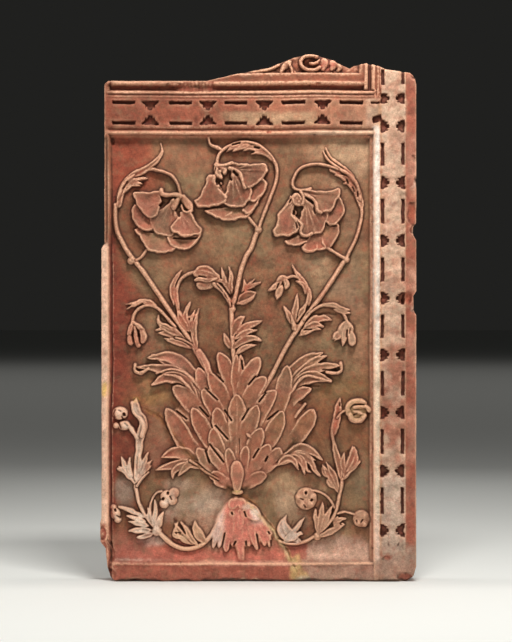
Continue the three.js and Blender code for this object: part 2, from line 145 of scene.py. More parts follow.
def distance(route, where):
    """Distance to a route for every point of a given window."""
    best = np.full(X[where].shape, FAR)
    for (ax, az), (dx, dz) in zip(route[:-1], np.diff(route, axis=0)):
        x, z = X[where] - ax, Z[where] - az
        t = np.clip((x * dx + z * dz) / (dx * dx + dz * dz + TINY), 0.0, 1.0)
        best = np.minimum(best, np.hypot(x - t * dx, z - t * dz))
    return best


def within(outline, where):
    """Which points of a window lie inside a closed outline."""
    x, z = X[where], Z[where]
    found = np.zeros(x.shape, bool)
    for (ax, az), (bx, bz) in zip(outline, np.roll(outline, -1, axis=0)):
        if az != bz:
            found ^= ((az > z) != (bz > z)) & (x < (bx - ax) * (z - az) / (bz - az) + ax)
    return found


def lay(where, top, cover, over=True):
    """Puts a form on the stone: its top surface where it covers, over or merely among the rest."""
    base = relief[where]
    if not over:
        top = np.maximum(top, base)
    relief[where] = base * (1.0 - cover) + top * cover


CHANNEL_REACH = 3.0
LOWEST = FIELD - 1.5


def bite(where, away, depth):
    """The carver's channel around a form: away is the distance outside its edge."""
    ring = smooth(1.0 - away / CHANNEL_REACH) * (away > 0)
    relief[where] = np.maximum(relief[where] - depth * ring, np.minimum(relief[where], LOWEST))


# How wide a form is along its route, as a share of its full width
SWELLS = {
    "leaf": lambda t: np.sin(math.pi * t**0.85) ** 0.8,
    "spoon": lambda t: np.where(t < 0.6, 0.62 + 0.38 * np.sin(math.pi * t / 1.2) ** 1.5,
                                np.clip(1.0 - (np.clip(t - 0.6, 0, 1) / 0.4) ** 2.3, 0, 1) ** 0.62),
    "spear": lambda t: np.clip(1.0 - t, 0, 1) ** 0.62 * (0.75 + 0.25 * np.minimum(t * 6, 1)),
    "lobe": lambda t: np.sqrt(np.clip(1.0 - t**5, 0, 1)) * (0.55 + 0.45 * np.minimum(t * 2.2, 1)),
    "stem": lambda t: np.ones_like(t),
    "tail": lambda t: 1.0 - 0.62 * t,
    "bud": lambda t: np.sqrt(np.clip(1.0 - (2 * t - 1) ** 2, 0, 1)),
}
SLOPE = 1.8  # width of a form's sloping side
MARGIN = 4.0  # how far round a form the stone is worked
RIM_INSET = 2.0  # how far inside the edge a raised rim runs
RIM_WIDTH, RIB_WIDTH = 1.7, 1.4
LIP_WIDTH, LIP_STRAY = 1.9, 0.9  # the rim of a petal: its width, and how far it strays from its line
CHANNEL = 1.8  # depth of the channel round stems and petals
AROUND_PETAL = 60.0  # half a petal, so that its whole inside is measured
CLEAR_OF_RIM = 8.0  # the ribs of a petal die out this far from its rim
AT_ROOT = 1e-6  # keeps the share of the way to the rim defined at the root
uneven = grain(3.5)
patchy = grain(14.0)


def blade(route, width, low, high, cup=0.0, rim=0.0, rib=0.0, dome=0.0, swell="leaf", slope=SLOPE,
          channel=1.6, over=True, tilt=0.0, fade=0.0):
    """A leaf, lobe or stem along a route, that can fade into its base. Heights are over the field."""
    where, away, side, t = nearest(spline(route), width / 2 + slope + MARGIN)
    half = width / 2 * SWELLS[swell](t)
    across = np.clip(away / np.maximum(half, 0.5), 0.0, 1.2)
    grow = smooth((t - fade) / 0.3) if fade else 1.0
    inside = half - away + 0.5 * uneven[where]
    rim = rim * (1.0 + 0.3 * patchy[where]) * grow
    top = low + (high - low) * t - cup * (1.0 - across**2) + dome * np.sqrt(np.clip(1.0 - across**2, 0, 1))
    top += rim * bell((inside - RIM_INSET) / RIM_WIDTH) + rib * bell(away / RIB_WIDTH)
    top += tilt * side * across
    cover = smooth((inside + slope) / slope)
    if fade:
        cover = cover * smooth((t - 0.3 * fade) / 0.2)
    bite(where, -inside - slope * 0.5, channel * grow)
    lay(where, FIELD + top, cover, over)


def leaf(width, low, high, cup, rim, *route, **more):
    """A leaf with a raised rim: width, height at root and tip, depth of its hollow, height of its rim."""
    blade(route, width, low, high, cup, rim, **more)


def rounded(swell, width, low, high, dome, *route):
    """A plain rounded form: width, height at root and tip, and how far its middle stands over that."""
    blade(route, width, low, high, dome=dome, swell=swell)


def stalk(width, rise, *route):
    """A round stem: width and height."""
    low = rise * 0.3
    blade(route, width * 0.84, low, low, dome=rise * 0.75, swell="stem", slope=1.2, channel=CHANNEL)


def petal(root, low, high, lip, ribs, count, sag, *rim, curve=1.0):
    """A petal that opens from its root to a wavy rim: height at root and rim, height of its lip, depth and
    number of its ribs, and how far it sags between. Heights are over the field."""
    rim = spline(rim, 3.0)
    outline = np.vstack([[root], rim])
    where, away, _, _ = nearest(np.vstack([outline, outline[:1]]), SLOPE + MARGIN + AROUND_PETAL)
    inside = np.where(within(outline, where), away, -away) + LIP_STRAY * uneven[where]
    to_rim = np.maximum(distance(rim, where) + LIP_STRAY * uneven[where], 0)
    x, z = X[where] - root[0], Z[where] - root[1]
    out = np.hypot(x, z)
    u = out / (out + to_rim + AT_ROOT)
    turn = np.arctan2(z, x)
    clear = smooth(to_rim / CLEAR_OF_RIM)
    strands = np.cos(turn * count + 1.5 * np.sin(turn * 5)) + 0.5 * np.cos(turn * count * 2.3 + 1.0)
    top = low + (high - low) * u**curve - sag * 4 * u * (1 - u)
    top += lip * (1.0 + 0.35 * patchy[where]) * bell((to_rim - RIM_INSET) / LIP_WIDTH)
    top += ribs * strands * smooth(u * 2.0) * clear * (1.1 - 0.5 * u)
    top += 0.5 * np.sin(to_rim / 5.5 + 2.0 * np.sin(turn * 3)) * clear
    bite(where, -inside - SLOPE * 0.5, CHANNEL)
    lay(where, FIELD + top, smooth((inside + SLOPE) / SLOPE))


def drill(radius, depth, *route, floor=-3.0):
    """A drilled slot, cut down along a short route, no deeper than its floor over the field."""
    where, away, _, _ = nearest(spline(route), radius + 3.0)
    cover = smooth((radius + 0.8 - away) / 1.6)
    relief[where] -= cover * np.clip(relief[where] - (FIELD + floor), 0, depth)


def drills(*slots):
    """Several drilled slots: radius, depth and route of each."""
    for slot in slots:
        drill(*slot)


def ridge(width, rise, *route):
    """A thin raised line on whatever lies below it."""
    where, away, _, t = nearest(spline(route), width + 3.0)
    ends = smooth(t * 5) * smooth((1 - t) * 5)
    relief[where] += rise * bell(away / (width / 2)) * (0.35 + 0.65 * ends)


def knob(x, z, radius, rise, squash=1.0, fullness=0.5):
    """A low boss, which can be flattened and made fuller."""
    where = window(np.array([[x, z]]), radius + MARGIN)
    away = np.hypot(X[where] - x, (Z[where] - z) / squash)
    top = FIELD + rise * (1.0 - np.clip(away / radius, 0, 1) ** 2) ** fullness
    bite(where, away - radius, 1.5)
    lay(where, top, smooth((radius - away + 1.5) / 1.5), over=False)


def knobs(*bosses):
    """Several bosses, in the order in which they are cut."""
    for boss in bosses:
        knob(*boss)


# ---- The frame: mouldings, sunk field, chain of cartouches ---------------------------------------
FIELD_LEFT, FIELD_RIGHT, FIELD_BOTTOM, FIELD_TOP = -357.0, 262.0, 48.0, 1066.0
COVE_Z = 1181.5  # the foot of the deep cove in the upper mouldings
STUMP_Z = 1222.0  # above this the stone is broken
LEFT_BREAK_Z = 806.0  # where the left margin changes
MOULDING_Z = 1070.0  # the foot of the mouldings over the field
REGISTER_Z, SILL_Z = 1203.0, 1221.0  # the cut-back ground of the lost register, and its broken sill
BAND_BOTTOM, BAND_TOP = 1090.0, 1162.0  # the top band, which carries the chain
BAND_LEFT, BAND_RIGHT = 284.0, 352.0  # the same band down the right side
waver_x = X + grain(60.0)
waver_z = Z + grain(55.0)


def profile(at, *steps):
    """Straight lines through pairs: a place across the frame, and the height or width there."""
    return np.interp(at, *zip(*steps))


above = profile(
    waver_z, (FIELD_TOP - 6, 64), (FIELD_TOP - 2, 66), (MOULDING_Z, 76), (1073.5, 78), (1075, 85),
    (1077, 87.5), (1080, 87.5), (1082, 84), (1086, 82.5), (1088, 84), (1090, 88.5), (1093, 89.5),
    (1158, 90), (1160, 88.5), (1161.5, 86), (1163, 88.5), (1166, 89), (1168, 86), (1169.5, 84), (1171, 86),
    (1173, 89.5), (1177, 89.5), (1179, 84), (COVE_Z, 74.5), (1186, 73.5), (1190, 77), (1193, 84),
    (1195, 88.5), (1197, 89.7), (1200.5, 89.7), (1202.5, 85.6), (1206, 86.4), (1220, 88), (1270, 88))
right = profile(
    waver_x, (FIELD_RIGHT - 5, 64), (FIELD_RIGHT, 66), (266, 76), (272, 82), (273, 88), (276, 90),
    (281, 90), (284, 88.5), (286, 87), (289, 88.5), (291, 90), (349, 90), (350.5, 88.3), (352, 90),
    (400, 90))
left = profile(
    -waver_x, (-FIELD_LEFT - 3, 64), (-FIELD_LEFT, 66), (361, 76), (364, 84), (367, 87), (371, 88),
    (400, 88))
below = profile(
    -waver_z, (-FIELD_BOTTOM - 46, 64), (-FIELD_BOTTOM - 20, 66), (-FIELD_BOTTOM - 4, 70), (-46, 78),
    (-44.5, 84.5), (-41, 86.5), (-38, 84.5), (-34, 84), (-10, 86), (0, 86))
relief = np.maximum(np.maximum(above, right), np.maximum(left, below))

# The left margin: a plain strip above the old break, a stepped pale strip below it
upper_left = smooth((Z - LEFT_BREAK_Z) / 10)
beside = np.where(waver_x < FIELD_LEFT, 1, 0) * smooth((MOULDING_Z - Z) / 5)
stepped = profile(-waver_x, (357, 6), (363, 7), (367, 1.0), (371, 0.0), (382, 0.3), (390, 2))
plain = profile(-waver_x, (357, 0), (361, 4.0), (366, 5.0), (369, -2.5), (373, -2.5), (376, 1), (390, 1))
relief -= beside * (1 - upper_left) * stepped
relief += beside * upper_left * (plain - 3.0)

# The mouldings over the chain turn up before the right band
turned = profile(
    waver_x, (247, 0), (249, 1), (254, 1), (256, 0.2), (258.5, -15), (264, -15.5), (266, -4), (269, 0),
    (273, 0), (275, -4), (277, -5), (279, -4), (281, -0.5), (284, -0.5), (286, -3.5), (288, 0), (300, 0))
corner = (waver_x > 248) & (waver_x < 290)
relief = np.where(corner & (waver_z > COVE_Z), FRONT - 0.5 + turned, relief)
for low, start, depth in ((1167, 279, 5.0), (1160, 289, 3.0)):
    line = smooth((waver_x - (start - 3)) / 1.5) * smooth((start + 1 - waver_x) / 1.5)
    relief -= np.where((waver_z > low) & (waver_z < 1183), depth * line, 0)

# The register that once went on above, cut back and broken
relief -= smooth((waver_z - REGISTER_Z) / 2.5) * smooth((250 - waver_x) / 2) * 3.0
relief -= smooth((waver_z - SILL_Z) / 2.0) * smooth((236 - waver_x) / 2) * 9.0

# The chain: dark ground beside the cartouches, which meet at narrow waists
CORNER_X, CORNER_Z = 318.0, 1126.0
TOP_WAISTS = (149.0, 11.0, -127.0, -265.0)
TOP_SLOTS = (-355.0, -220.0, -86.0, 53.0, 191.0)
SIDE_WAISTS = (1160.0, 1093.0, 959.0, 819.0, 682.0, 546.0, 407.0, 266.0, 122.0)
TOP_LOBES = ((0, 6), (4, 6.5), (5.5, 12), (8, 14), (9.5, 12), (10.5, 10), (12, 19), (14, 21.5), (15, 20),
             (16, 22), (19, 24.5), (21, 25))
SIDE_LOBES = ((0, 8), (4, 8.5), (5, 13.5), (7.5, 14.5), (8.5, 11.5), (9.5, 10.5), (11, 18), (13, 20),
              (14, 19), (16, 26))
HALF_CHAIN = 28.5
SLOT_INNER, SLOT_OUTER = 21.0, 28.3
TOP_SLOT = 54.0
SIDE_SLOT_ENDS = (41.0, 40.0)  # how far a side slot stays from the waists below and above it
OPENWORK_DEPTH, SIDE_SLOT_DEPTH = 12.0, 10.0
ragged = grain(1.5) * 0.9 + grain(4.0) * 1.1


def openwork(along, across, waist, lobes, reach):
    """The pierced ground either side of a waist of the chain, with the lobed ends of two cartouches."""
    u = np.abs(along - waist) + ragged * 0.4
    v = np.abs(across) + ragged * 0.5
    gap = np.minimum(np.minimum(v - profile(u, *lobes), HALF_CHAIN - v), reach - u)
    return OPENWORK_DEPTH * smooth(gap / 2.0 + 0.5)


def slots(along, across, low, high, depth=13.0):
    """A long slot on each side of a cartouche."""
    u = np.minimum(along - low, high - along) - ragged * 0.4
    v = np.minimum(np.abs(across) - SLOT_INNER, SLOT_OUTER - np.abs(across)) - ragged * 0.3
    return depth * smooth(np.minimum(u, v) / 2.0 + 0.5)


# The notches at the corner, then the waists and slots along the top and down the side
top_across = waver_z - CORNER_Z
side_across = waver_x - CORNER_X
on_top = (X < FIELD_RIGHT) & (Z > BAND_BOTTOM) & (Z < BAND_TOP)
on_side = (X > BAND_LEFT) & (X < BAND_RIGHT)
notch = np.minimum(waver_x - 268, 293 - waver_x) - np.abs(waver_z - 1110) * 0.25
notch = np.minimum(notch, 9 - np.abs(waver_z - 1111 - 0.3 * (waver_x - 280)))
nick = np.minimum(np.minimum(waver_x - 264, 288 - waver_x), 3.4 - np.abs(waver_z - 1150))
cut = np.maximum(OPENWORK_DEPTH * smooth(notch / 2), 8.0 * smooth(nick / 2))
for waist in TOP_WAISTS:
    cut = np.maximum(cut, openwork(waver_x, top_across, waist, TOP_LOBES, 20.0) * on_top)
for start in TOP_SLOTS:
    cut = np.maximum(cut, slots(waver_x, top_across, start, start + TOP_SLOT) * on_top)
for waist in SIDE_WAISTS:
    reach = 12.0 if waist == SIDE_WAISTS[0] else 15.0
    cut = np.maximum(cut, openwork(waver_z, side_across, waist, SIDE_LOBES, reach) * on_side)
for upper, lower in zip(SIDE_WAISTS[1:], SIDE_WAISTS[2:]):
    low, high = lower + SIDE_SLOT_ENDS[0], upper - SIDE_SLOT_ENDS[1]
    cut = np.maximum(cut, slots(waver_z, side_across, low, high, SIDE_SLOT_DEPTH) * on_side)
cut = np.maximum(cut, slots(waver_z, side_across, 1194, 1230, 11.0) * on_side)
relief -= cut * smooth((Z - 100) / 6)

# Cusps and soft wear of the cartouches
bumpy = grain(4.0) * 0.8 + grain(2.0) * 0.35
inside_chain = smooth((28 - np.abs(side_across)) / 3) * smooth((1205 - Z) / 8) * smooth((Z - 70) / 8)
inside_chain = np.maximum(inside_chain, smooth((26 - np.abs(top_across)) / 3) * (X < 285) * 0.6)
relief -= inside_chain * (1.9 - bumpy * 1.1)

# The pointed bud in which the chain ends
from_tip = np.abs(side_across - 3)
tip = np.minimum(0.55 * (waver_z - 76), (126 - waver_z) * 0.5) - from_tip + 1.5
around = smooth((15 - from_tip) / 3) * smooth((waver_z - 80) / 8) * smooth((118 - waver_z) / 5)
relief -= 5.0 * around * smooth(-tip / 3)

# ---- The poppies: the stems, then each flower from the back to the front -------------------------
stalk(13, 15, (-52, 400), (-70, 425), (-88, 448), (-106, 470), (-125, 500), (-180, 595), (-215, 646),
      (-250, 697), (-285, 748), (-312, 782), (-330, 810), (-346, 845), (-350, 880), (-349, 905))
stalk(12.5, 15, (-20, 420), (20, 482), (55, 550), (80, 592), (95, 614), (120, 651), (150, 691), (180, 736),
      (206, 777))
stalk(9.5, 14, (206, 773), (214, 792), (229, 822), (239, 854), (244, 880), (243, 905), (239, 935),
      (230, 957))
stalk(13, 15, (-55, 400), (-62, 450), (-62, 500), (-66, 560), (-69, 620), (-69, 655), (-61, 685),
      (-54, 715), (-49, 738), (-44, 757), (-35, 781), (-22, 802), (-13, 828), (-5, 846))
stalk(9.5, 15, (-6, 843), (1, 864), (9, 886), (17, 905), (25, 927), (33, 948), (38, 966), (40, 984),
      (37, 1003), (28, 1019), (16, 1033), (2, 1045), (-16, 1054), (-41, 1057), (-65, 1052), (-85, 1042),
      (-98, 1030), (-104, 1014), (-104, 998))

# Left poppy: the hook and its curled sheath
leaf(20, 9, 13, 1, 1.5, (-341, 905), (-336, 935), (-322, 958), (-308, 972), (-290, 984), (-270, 992),
     swell="lobe")
stalk(8.5, 16, (-306, 962), (-285, 985), (-262, 992), (-250, 989), (-232, 985), (-214, 976), (-201, 959),
      (-194, 937), (-191, 922), (-186, 912))
leaf(15, 9, 9, 2, 2, (-300, 978), (-276, 993), (-258, 1006), (-244, 1020), (-237, 1036), (-241, 1056),
     swell="spear")
rounded("leaf", 9, 13, 16, 3, (-345, 918), (-337, 940), (-322, 962), (-303, 979))
leaf(10, 11, 15, 0, 1.5, (-333, 930), (-322, 945), (-310, 955), (-288, 951))
leaf(10, 12, 15, 0, 1.5, (-322, 948), (-305, 963), (-290, 969), (-272, 969))
rounded("leaf", 8, 12, 14, 2, (-309, 955), (-296, 958), (-284, 956))
drills((2, 9, (-331, 944), (-320, 962)), (1.8, 8, (-301, 971), (-287, 974)))

# Left poppy: petals from the back to the front
petal((-262, 862), 4, 14, 3.4, 0.5, 10, 3, (-303, 846), (-296, 836), (-286, 820), (-276, 802), (-262, 793),
      (-235, 790), (-214, 795), (-202, 802), (-200, 822))
petal((-196, 868), 1, 16, 3.6, 0, 0, 4, (-224, 826), (-217, 810), (-204, 801), (-189, 797), (-172, 801),
      (-157, 813), (-146, 829), (-140, 843), curve=1.7)
petal((-258, 888), 8, 16, 3.4, 0.6, 12, 4, (-304, 908), (-309, 892), (-309, 878), (-302, 864), (-287, 848),
      (-270, 843), (-262, 846))
petal((-212, 915), 21, 11, 2.2, 1.3, 22, 3, (-268, 872), (-262, 856), (-256, 846), (-247, 836), (-230, 832),
      (-214, 832), (-204, 846), (-198, 868))
petal((-238, 913), 15, 20, 2.8, 0.9, 13, 5, (-243, 940), (-258, 937), (-275, 936), (-303, 935), (-302, 917),
      (-294, 900), (-277, 881), (-262, 873), (-252, 878), (-246, 892))
petal((-193, 888), 19, 20, 3, 1, 15, 3, (-199, 872), (-209, 860), (-217, 851), (-211, 841), (-199, 835),
      (-189, 829), (-174, 830), (-161, 834), (-150, 833), (-141, 843), (-150, 857), (-158, 866),
      (-165, 880), (-172, 892))
ridge(4, 2, (-164, 880), (-158, 862), (-143, 848))
rounded("lobe", 18, 15, 17, 4, (-186, 925), (-176, 910), (-165, 893))
rounded("lobe", 14, 17, 18, 5, (-196, 922), (-206, 905), (-210, 893))
rounded("stem", 9, 16, 19, 4, (-239, 941), (-236, 931), (-222, 929), (-206, 930), (-192, 926))
rounded("stem", 5, 18, 20, 3, (-191, 905), (-186, 892), (-176, 888), (-166, 892))
knobs((-212, 917, 7, 23), (-211, 901, 6, 24))
drills((3.2, 17, (-241, 904), (-233, 911)), (2.8, 14, (-218, 918), (-212, 923)),
       (2.3, 14, (-193, 914), (-193, 905)), (2.8, 16, (-197, 889), (-196, 879)),
       (1.6, 8, (-280, 843), (-258, 840)), (2, 8, (-208, 826), (-180, 824), (-152, 826)))
rounded("stem", 5, 8, 8, 3, (-276, 797), (-285, 782), (-300, 772))

# Centre poppy: the sheath under the hook, and a free leaf tip
leaf(13, 10, 13, 1, 2, (16, 1024), (-3, 1037), (-24, 1043), (-42, 1036))
leaf(12, 10, 13, 1, 2, (-12, 1046), (-38, 1050), (-66, 1044), (-82, 1034))
leaf(10, 12, 14, 0, 2, (-24, 1050), (-46, 1044), (-67, 1035))
leaf(9, 9, 11, 0, 1.5, (30, 1012), (14, 1027), (-6, 1032), (-22, 1028))
drills((2.2, 12, (-68, 1051), (-50, 1055)), (2.3, 12, (-14, 1045), (-3, 1043)))
rounded("tail", 7, 10, 12, 3, (-96, 1040), (-110, 1046), (-120, 1050), (-124, 1060), (-125, 1069))

# Centre poppy: petals
petal((-52, 905), 4, 14, 3.6, 0.6, 14, 3, (-12, 902), (-22, 888), (-32, 876), (-54, 873), (-66, 869),
      (-86, 869), (-106, 876), (-122, 884), (-135, 892))
ridge(4, 3.5, (-88, 878), (-78, 882), (-69, 890))
petal((-40, 935), 5, 14, 3.4, 0, 0, 4, (-2, 920), (-6, 910), (-14, 898), (-30, 884), (-44, 890))
petal((-35, 950), 5, 16, 3.4, 0.6, 12, 4, (4, 968), (12, 964), (16, 955), (13, 944), (8, 935), (-3, 923),
      (-16, 914), (-27, 918))
petal((-68, 985), 17, 16, 3.4, 1.2, 20, 6, (-84, 930), (-89, 914), (-84, 904), (-72, 900), (-55, 900),
      (-42, 901), (-34, 910), (-25, 923), (-20, 937), (-26, 949), (-40, 965))
petal((-108, 978), 16, 18, 2.8, 0.9, 13, -2.5, (-118, 976), (-126, 972), (-136, 950), (-142, 928),
      (-151, 920), (-160, 916), (-155, 906), (-146, 898), (-137, 900), (-126, 899), (-114, 904), (-99, 905),
      (-86, 912), (-84, 924), (-97, 940), (-106, 954))
rounded("stem", 7, 17, 18, 3, (-106, 958), (-98, 944), (-84, 924))
petal((-62, 990), 19, 18, 3, 1.1, 16, 5, (-82, 998), (-69, 1005), (-41, 1004), (-8, 1003), (12, 1003),
      (17, 990), (8, 974), (-4, 962), (-17, 951), (-32, 946), (-38, 952), (-44, 966), (-50, 980))
rounded("stem", 7, 18, 18, 4, (-74, 994), (-62, 990), (-52, 984), (-46, 974), (-42, 958), (-37, 947))
ridge(3, 2, (-58, 994), (-44, 996), (-32, 1001))
ridge(3, 1.6, (-46, 982), (-36, 986), (-24, 990))
drill(1.3, 3, (-44, 983), (-36, 986))
rounded("lobe", 13, 17, 19, 4, (-105, 1003), (-106, 990), (-99, 976), (-92, 968))
rounded("lobe", 12, 17, 19, 4, (-100, 1000), (-88, 990), (-86, 978))
rounded("stem", 6, 17, 17, 3, (-108, 1001), (-92, 1000), (-78, 1003), (-68, 1006))
knobs((-97, 986, 6, 24), (-94, 958, 4, 19))
drills((3.2, 18, (-64, 986), (-56, 978)), (2.5, 15, (-74, 972), (-70, 966)),
       (2.4, 14, (-92, 962), (-90, 956)), (2.6, 14, (-106, 962), (-104, 955)),
       (2, 11, (-98, 946), (-87, 934)), (1.6, 8, (-108, 994), (-110, 985)))
rounded("stem", 6, 8, 9, 4, (-28, 875), (-18, 862), (-8, 850))

# Right poppy: the hook and its sheath
leaf(22, 9, 12, 1, 1.5, (243, 905), (234, 935), (222, 957), (205, 975), (182, 988), (166, 992),
     swell="lobe")
stalk(8, 17, (214, 973), (194, 988), (174, 996), (157, 1001), (135, 1004), (109, 1000), (91, 989),
      (80, 970), (77, 954), (83, 944), (96, 941), (110, 942), (121, 945))
leaf(10, 14, 11, 0, 2.5, (228, 958), (212, 978), (193, 992), (172, 1006), (159, 1019), (151, 1036),
     swell="spear")
leaf(10, 11, 8, 0, 2, (222, 972), (201, 995), (174, 1015), (161, 1034), (157, 1044), swell="spear")
leaf(12, 10, 12, 0, 2, (232, 945), (218, 960), (200, 972), (178, 978))
leaf(11, 9, 12, 0, 2, (236, 925), (224, 945), (212, 957), (200, 957))
leaf(10, 11, 15, 0, 1.5, (242, 915), (236, 930), (232, 948))
rounded("stem", 7, 15, 17, 4, (237, 936), (231, 957), (214, 977), (194, 990))
drills((1.8, 9, (195, 982), (207, 977)), (2.2, 10, (211, 957), (208, 966)),
       (1.9, 9, (234, 926), (234, 937)), (1.6, 8, (222, 948), (226, 938)))

# Right poppy: petals
petal((112, 840), 2, 13, 3.6, 0, 0, 3, (58, 818), (66, 811), (78, 807), (91, 808), (103, 814), (115, 816),
      (124, 829))
petal((140, 852), 5, 14, 3.4, 0.8, 12, 2, (100, 803), (105, 797), (113, 791), (121, 792), (132, 796),
      (147, 798), (164, 801))
petal((142, 862), 6, 14, 3.6, 0.7, 12, 5, (186, 860), (189, 852), (190, 843), (183, 827), (172, 809),
      (161, 800), (148, 812))
petal((128, 890), 7, 16, 3.4, 0.6, 12, 5, (190, 924), (199, 912), (202, 898), (200, 884), (193, 871),
      (182, 859), (169, 856), (158, 862), (150, 876))
petal((108, 920), 20, 12, 2.8, 1.3, 24, 3, (94, 866), (100, 856), (96, 841), (102, 831), (112, 830),
      (124, 836), (136, 838), (147, 838), (152, 848), (160, 866), (162, 884), (150, 892))
rounded("stem", 6, 14, 16, 3, (78, 880), (90, 868), (99, 857), (96, 843), (101, 833), (112, 831),
        (123, 836))
petal((82, 915), 15, 17, 3, 0.8, 12, -2, (72, 928), (62, 908), (55, 897), (43, 884), (40, 868), (38, 855),
      (31, 845), (36, 831), (54, 830), (72, 831), (86, 839), (92, 850), (88, 864), (76, 880))
petal((106, 934), 19, 19, 3, 1.2, 18, 4, (105, 941), (146, 939), (165, 939), (188, 944), (192, 932),
      (183, 917), (178, 903), (170, 893), (155, 890), (144, 886), (137, 892), (134, 905), (126, 917))
rounded("stem", 7, 18, 18, 4, (100, 932), (116, 926), (128, 917), (135, 905), (137, 893), (146, 887))
ridge(3, 1.5, (114, 933), (130, 926), (142, 916))
leaf(24, 17, 19, 0, 1.5, (83, 934), (88, 918), (98, 904), dome=4, swell="bud")
knobs((82, 926, 3.2, 24.5), (88, 921, 3.2, 24.5), (93, 927, 3.2, 24.5), (92, 914, 3.2, 24.5),
      (98, 919, 3.2, 24.5), (99, 909, 3.2, 24.5))
rounded("stem", 6, 17, 18, 3, (96, 938), (104, 922), (100, 906))
knob(80.5, 887, 7.5, 20)
drills((3.2, 18, (80.5, 890), (80.5, 884)), (3, 17, (121, 916), (126, 911)), (2, 10, (72, 918), (70, 912)),
       (2, 9, (86, 862), (88, 850)), (1.8, 7, (128, 898), (131, 886)), (1.8, 8, (162, 857), (182, 855)),
       (1.6, 7, (100, 826), (114, 826)))
ridge(4, 3, (136, 812), (136, 797))
rounded("stem", 6.5, 9, 11, 4, (163, 802), (180, 790), (196, 781), (205, 776))

# Nodes of the stems
knobs((-312, 771, 9.5, 17), (-5, 846, 9.5, 17), (207, 774, 8.5, 17), (84, 610, 9.5, 17), (-68, 655, 9, 17),
      (-150, 552, 9, 17))
for x, z, lean in ((-312, 775, 0.8), (-310, 766, 0.8), (83, 603, -0.8), (89, 618, -0.8)):
    ridge(3, 2, (x - 8, z - 8 * lean), (x + 8, z + 8 * lean))


# ---- The side shoots ----------------------------------------------------------------------------
# Left: the bell on its curved stalk
stalk(9, 13, (-205, 612), (-222, 630), (-240, 650), (-258, 662), (-276, 664), (-294, 655), (-305, 640),
      (-309, 622))
leaf(11, 9, 14, 1.5, 2, (-246, 656), (-268, 672), (-290, 672), (-306, 664), (-322, 655))
leaf(8, 9, 14, 1, 2, (-262, 668), (-288, 672), (-308, 668), (-325, 666))
drill(2, 8, (-291, 663), (-284, 668))
leaf(12, 13, 14, 0, 2, (-308, 622), (-314, 604), (-318, 590), dome=3, swell="lobe")
leaf(12, 13, 14, 0, 2, (-304, 622), (-290, 610), (-284, 600), (-287, 592), dome=3, swell="lobe")
leaf(10, 12, 13, 0, 2, (-303, 612), (-300, 590), (-295, 562), dome=3, swell="lobe")
leaf(14, 10, 12, 0, 2, (-316, 592), (-314, 580), (-310, 568), dome=4, swell="bud")
leaf(15, 10, 13, 0, 2, (-288, 606), (-281, 588), (-286, 572), dome=4, swell="bud")
rounded("bud", 9, 12, 12, 3, (-294, 572), (-292, 563))
drills((1.8, 9, (-309, 592), (-307, 576)), (1.6, 8, (-293, 605), (-295, 590)))

# Left: the lobed leaf under the main stem
leaf(22, 8, 13, 2, 1.5, (-165, 560), (-190, 580), (-210, 592), (-228, 597), (-246, 597))
leaf(14, 9, 13, 1.5, 2, (-176, 572), (-205, 600), (-228, 608), (-252, 604))
leaf(15, 9, 14, 1.5, 2, (-190, 588), (-222, 606), (-240, 617), (-250, 632))
leaf(10, 9, 13, 1, 2, (-205, 600), (-226, 612), (-244, 622), (-246, 640))
leaf(13, 8, 13, 1, 2, (-170, 562), (-198, 574), (-220, 580), (-233, 585))
stalk(8, 12, (-150, 552), (-164, 568), (-184, 580), (-204, 586))
drill(3, 15, (-239, 639), (-231, 631))

# The hooked shoot between the left and the middle stem
stalk(9, 13, (-195, 640), (-201, 665), (-203, 690), (-199, 712), (-190, 728), (-175, 739), (-158, 744))
leaf(12, 10, 12, 1.5, 2, (-208, 664), (-213, 700), (-206, 724), (-190, 748))
leaf(10, 9, 12, 1, 2, (-196, 650), (-204, 690), (-196, 718))
stalk(7, 11, (-158, 640), (-172, 635), (-188, 640), (-196, 650))
rounded("lobe", 24, 9, 11, 4, (-104, 726), (-124, 716), (-142, 712), (-154, 716))
leaf(26, 11, 13, 0, 1.5, (-106, 732), (-128, 734), (-150, 740), (-162, 738), dome=4, swell="lobe")
leaf(15, 13, 15, 1, 2.5, (-108, 738), (-122, 748), (-142, 752), (-156, 746), swell="lobe")
leaf(11, 13, 15, 0, 1.5, (-106, 728), (-126, 724), (-146, 727), (-160, 724), dome=3, swell="lobe")
drill(1.6, 7, (-148, 734), (-132, 731))
leaf(9, 10, 12, 0, 2, (-112, 716), (-100, 706), (-86, 692), (-76, 676), (-70, 664), dome=5, swell="stem")
leaf(10, 9, 12, 1.5, 2, (-72, 690), (-82, 712), (-88, 730), (-94, 755))
leaf(10, 9, 12, 1.5, 2, (-68, 690), (-72, 715), (-70, 735), (-76, 755))
leaf(8, 9, 12, 1, 2, (-80, 712), (-92, 722), (-108, 722))
stalk(7, 14, (-72, 662), (-78, 682), (-90, 700), (-104, 716))

# The trident by the joint of the left stem
leaf(13, 9, 14, 1.5, 2, (-152, 556), (-160, 590), (-158, 622), (-149, 655))
leaf(9, 9, 13, 1.5, 2, (-160, 590), (-168, 612), (-164, 634), (-158, 652))
leaf(11, 9, 13, 1.5, 2, (-166, 600), (-178, 625), (-180, 645), (-169, 672))
leaf(15, 8, 12, 1.5, 2, (-172, 600), (-186, 622), (-196, 640), (-200, 652))
leaf(15, 10, 14, 0, 2, (-148, 550), (-140, 540), (-130, 520), (-124, 500), dome=4, swell="stem")

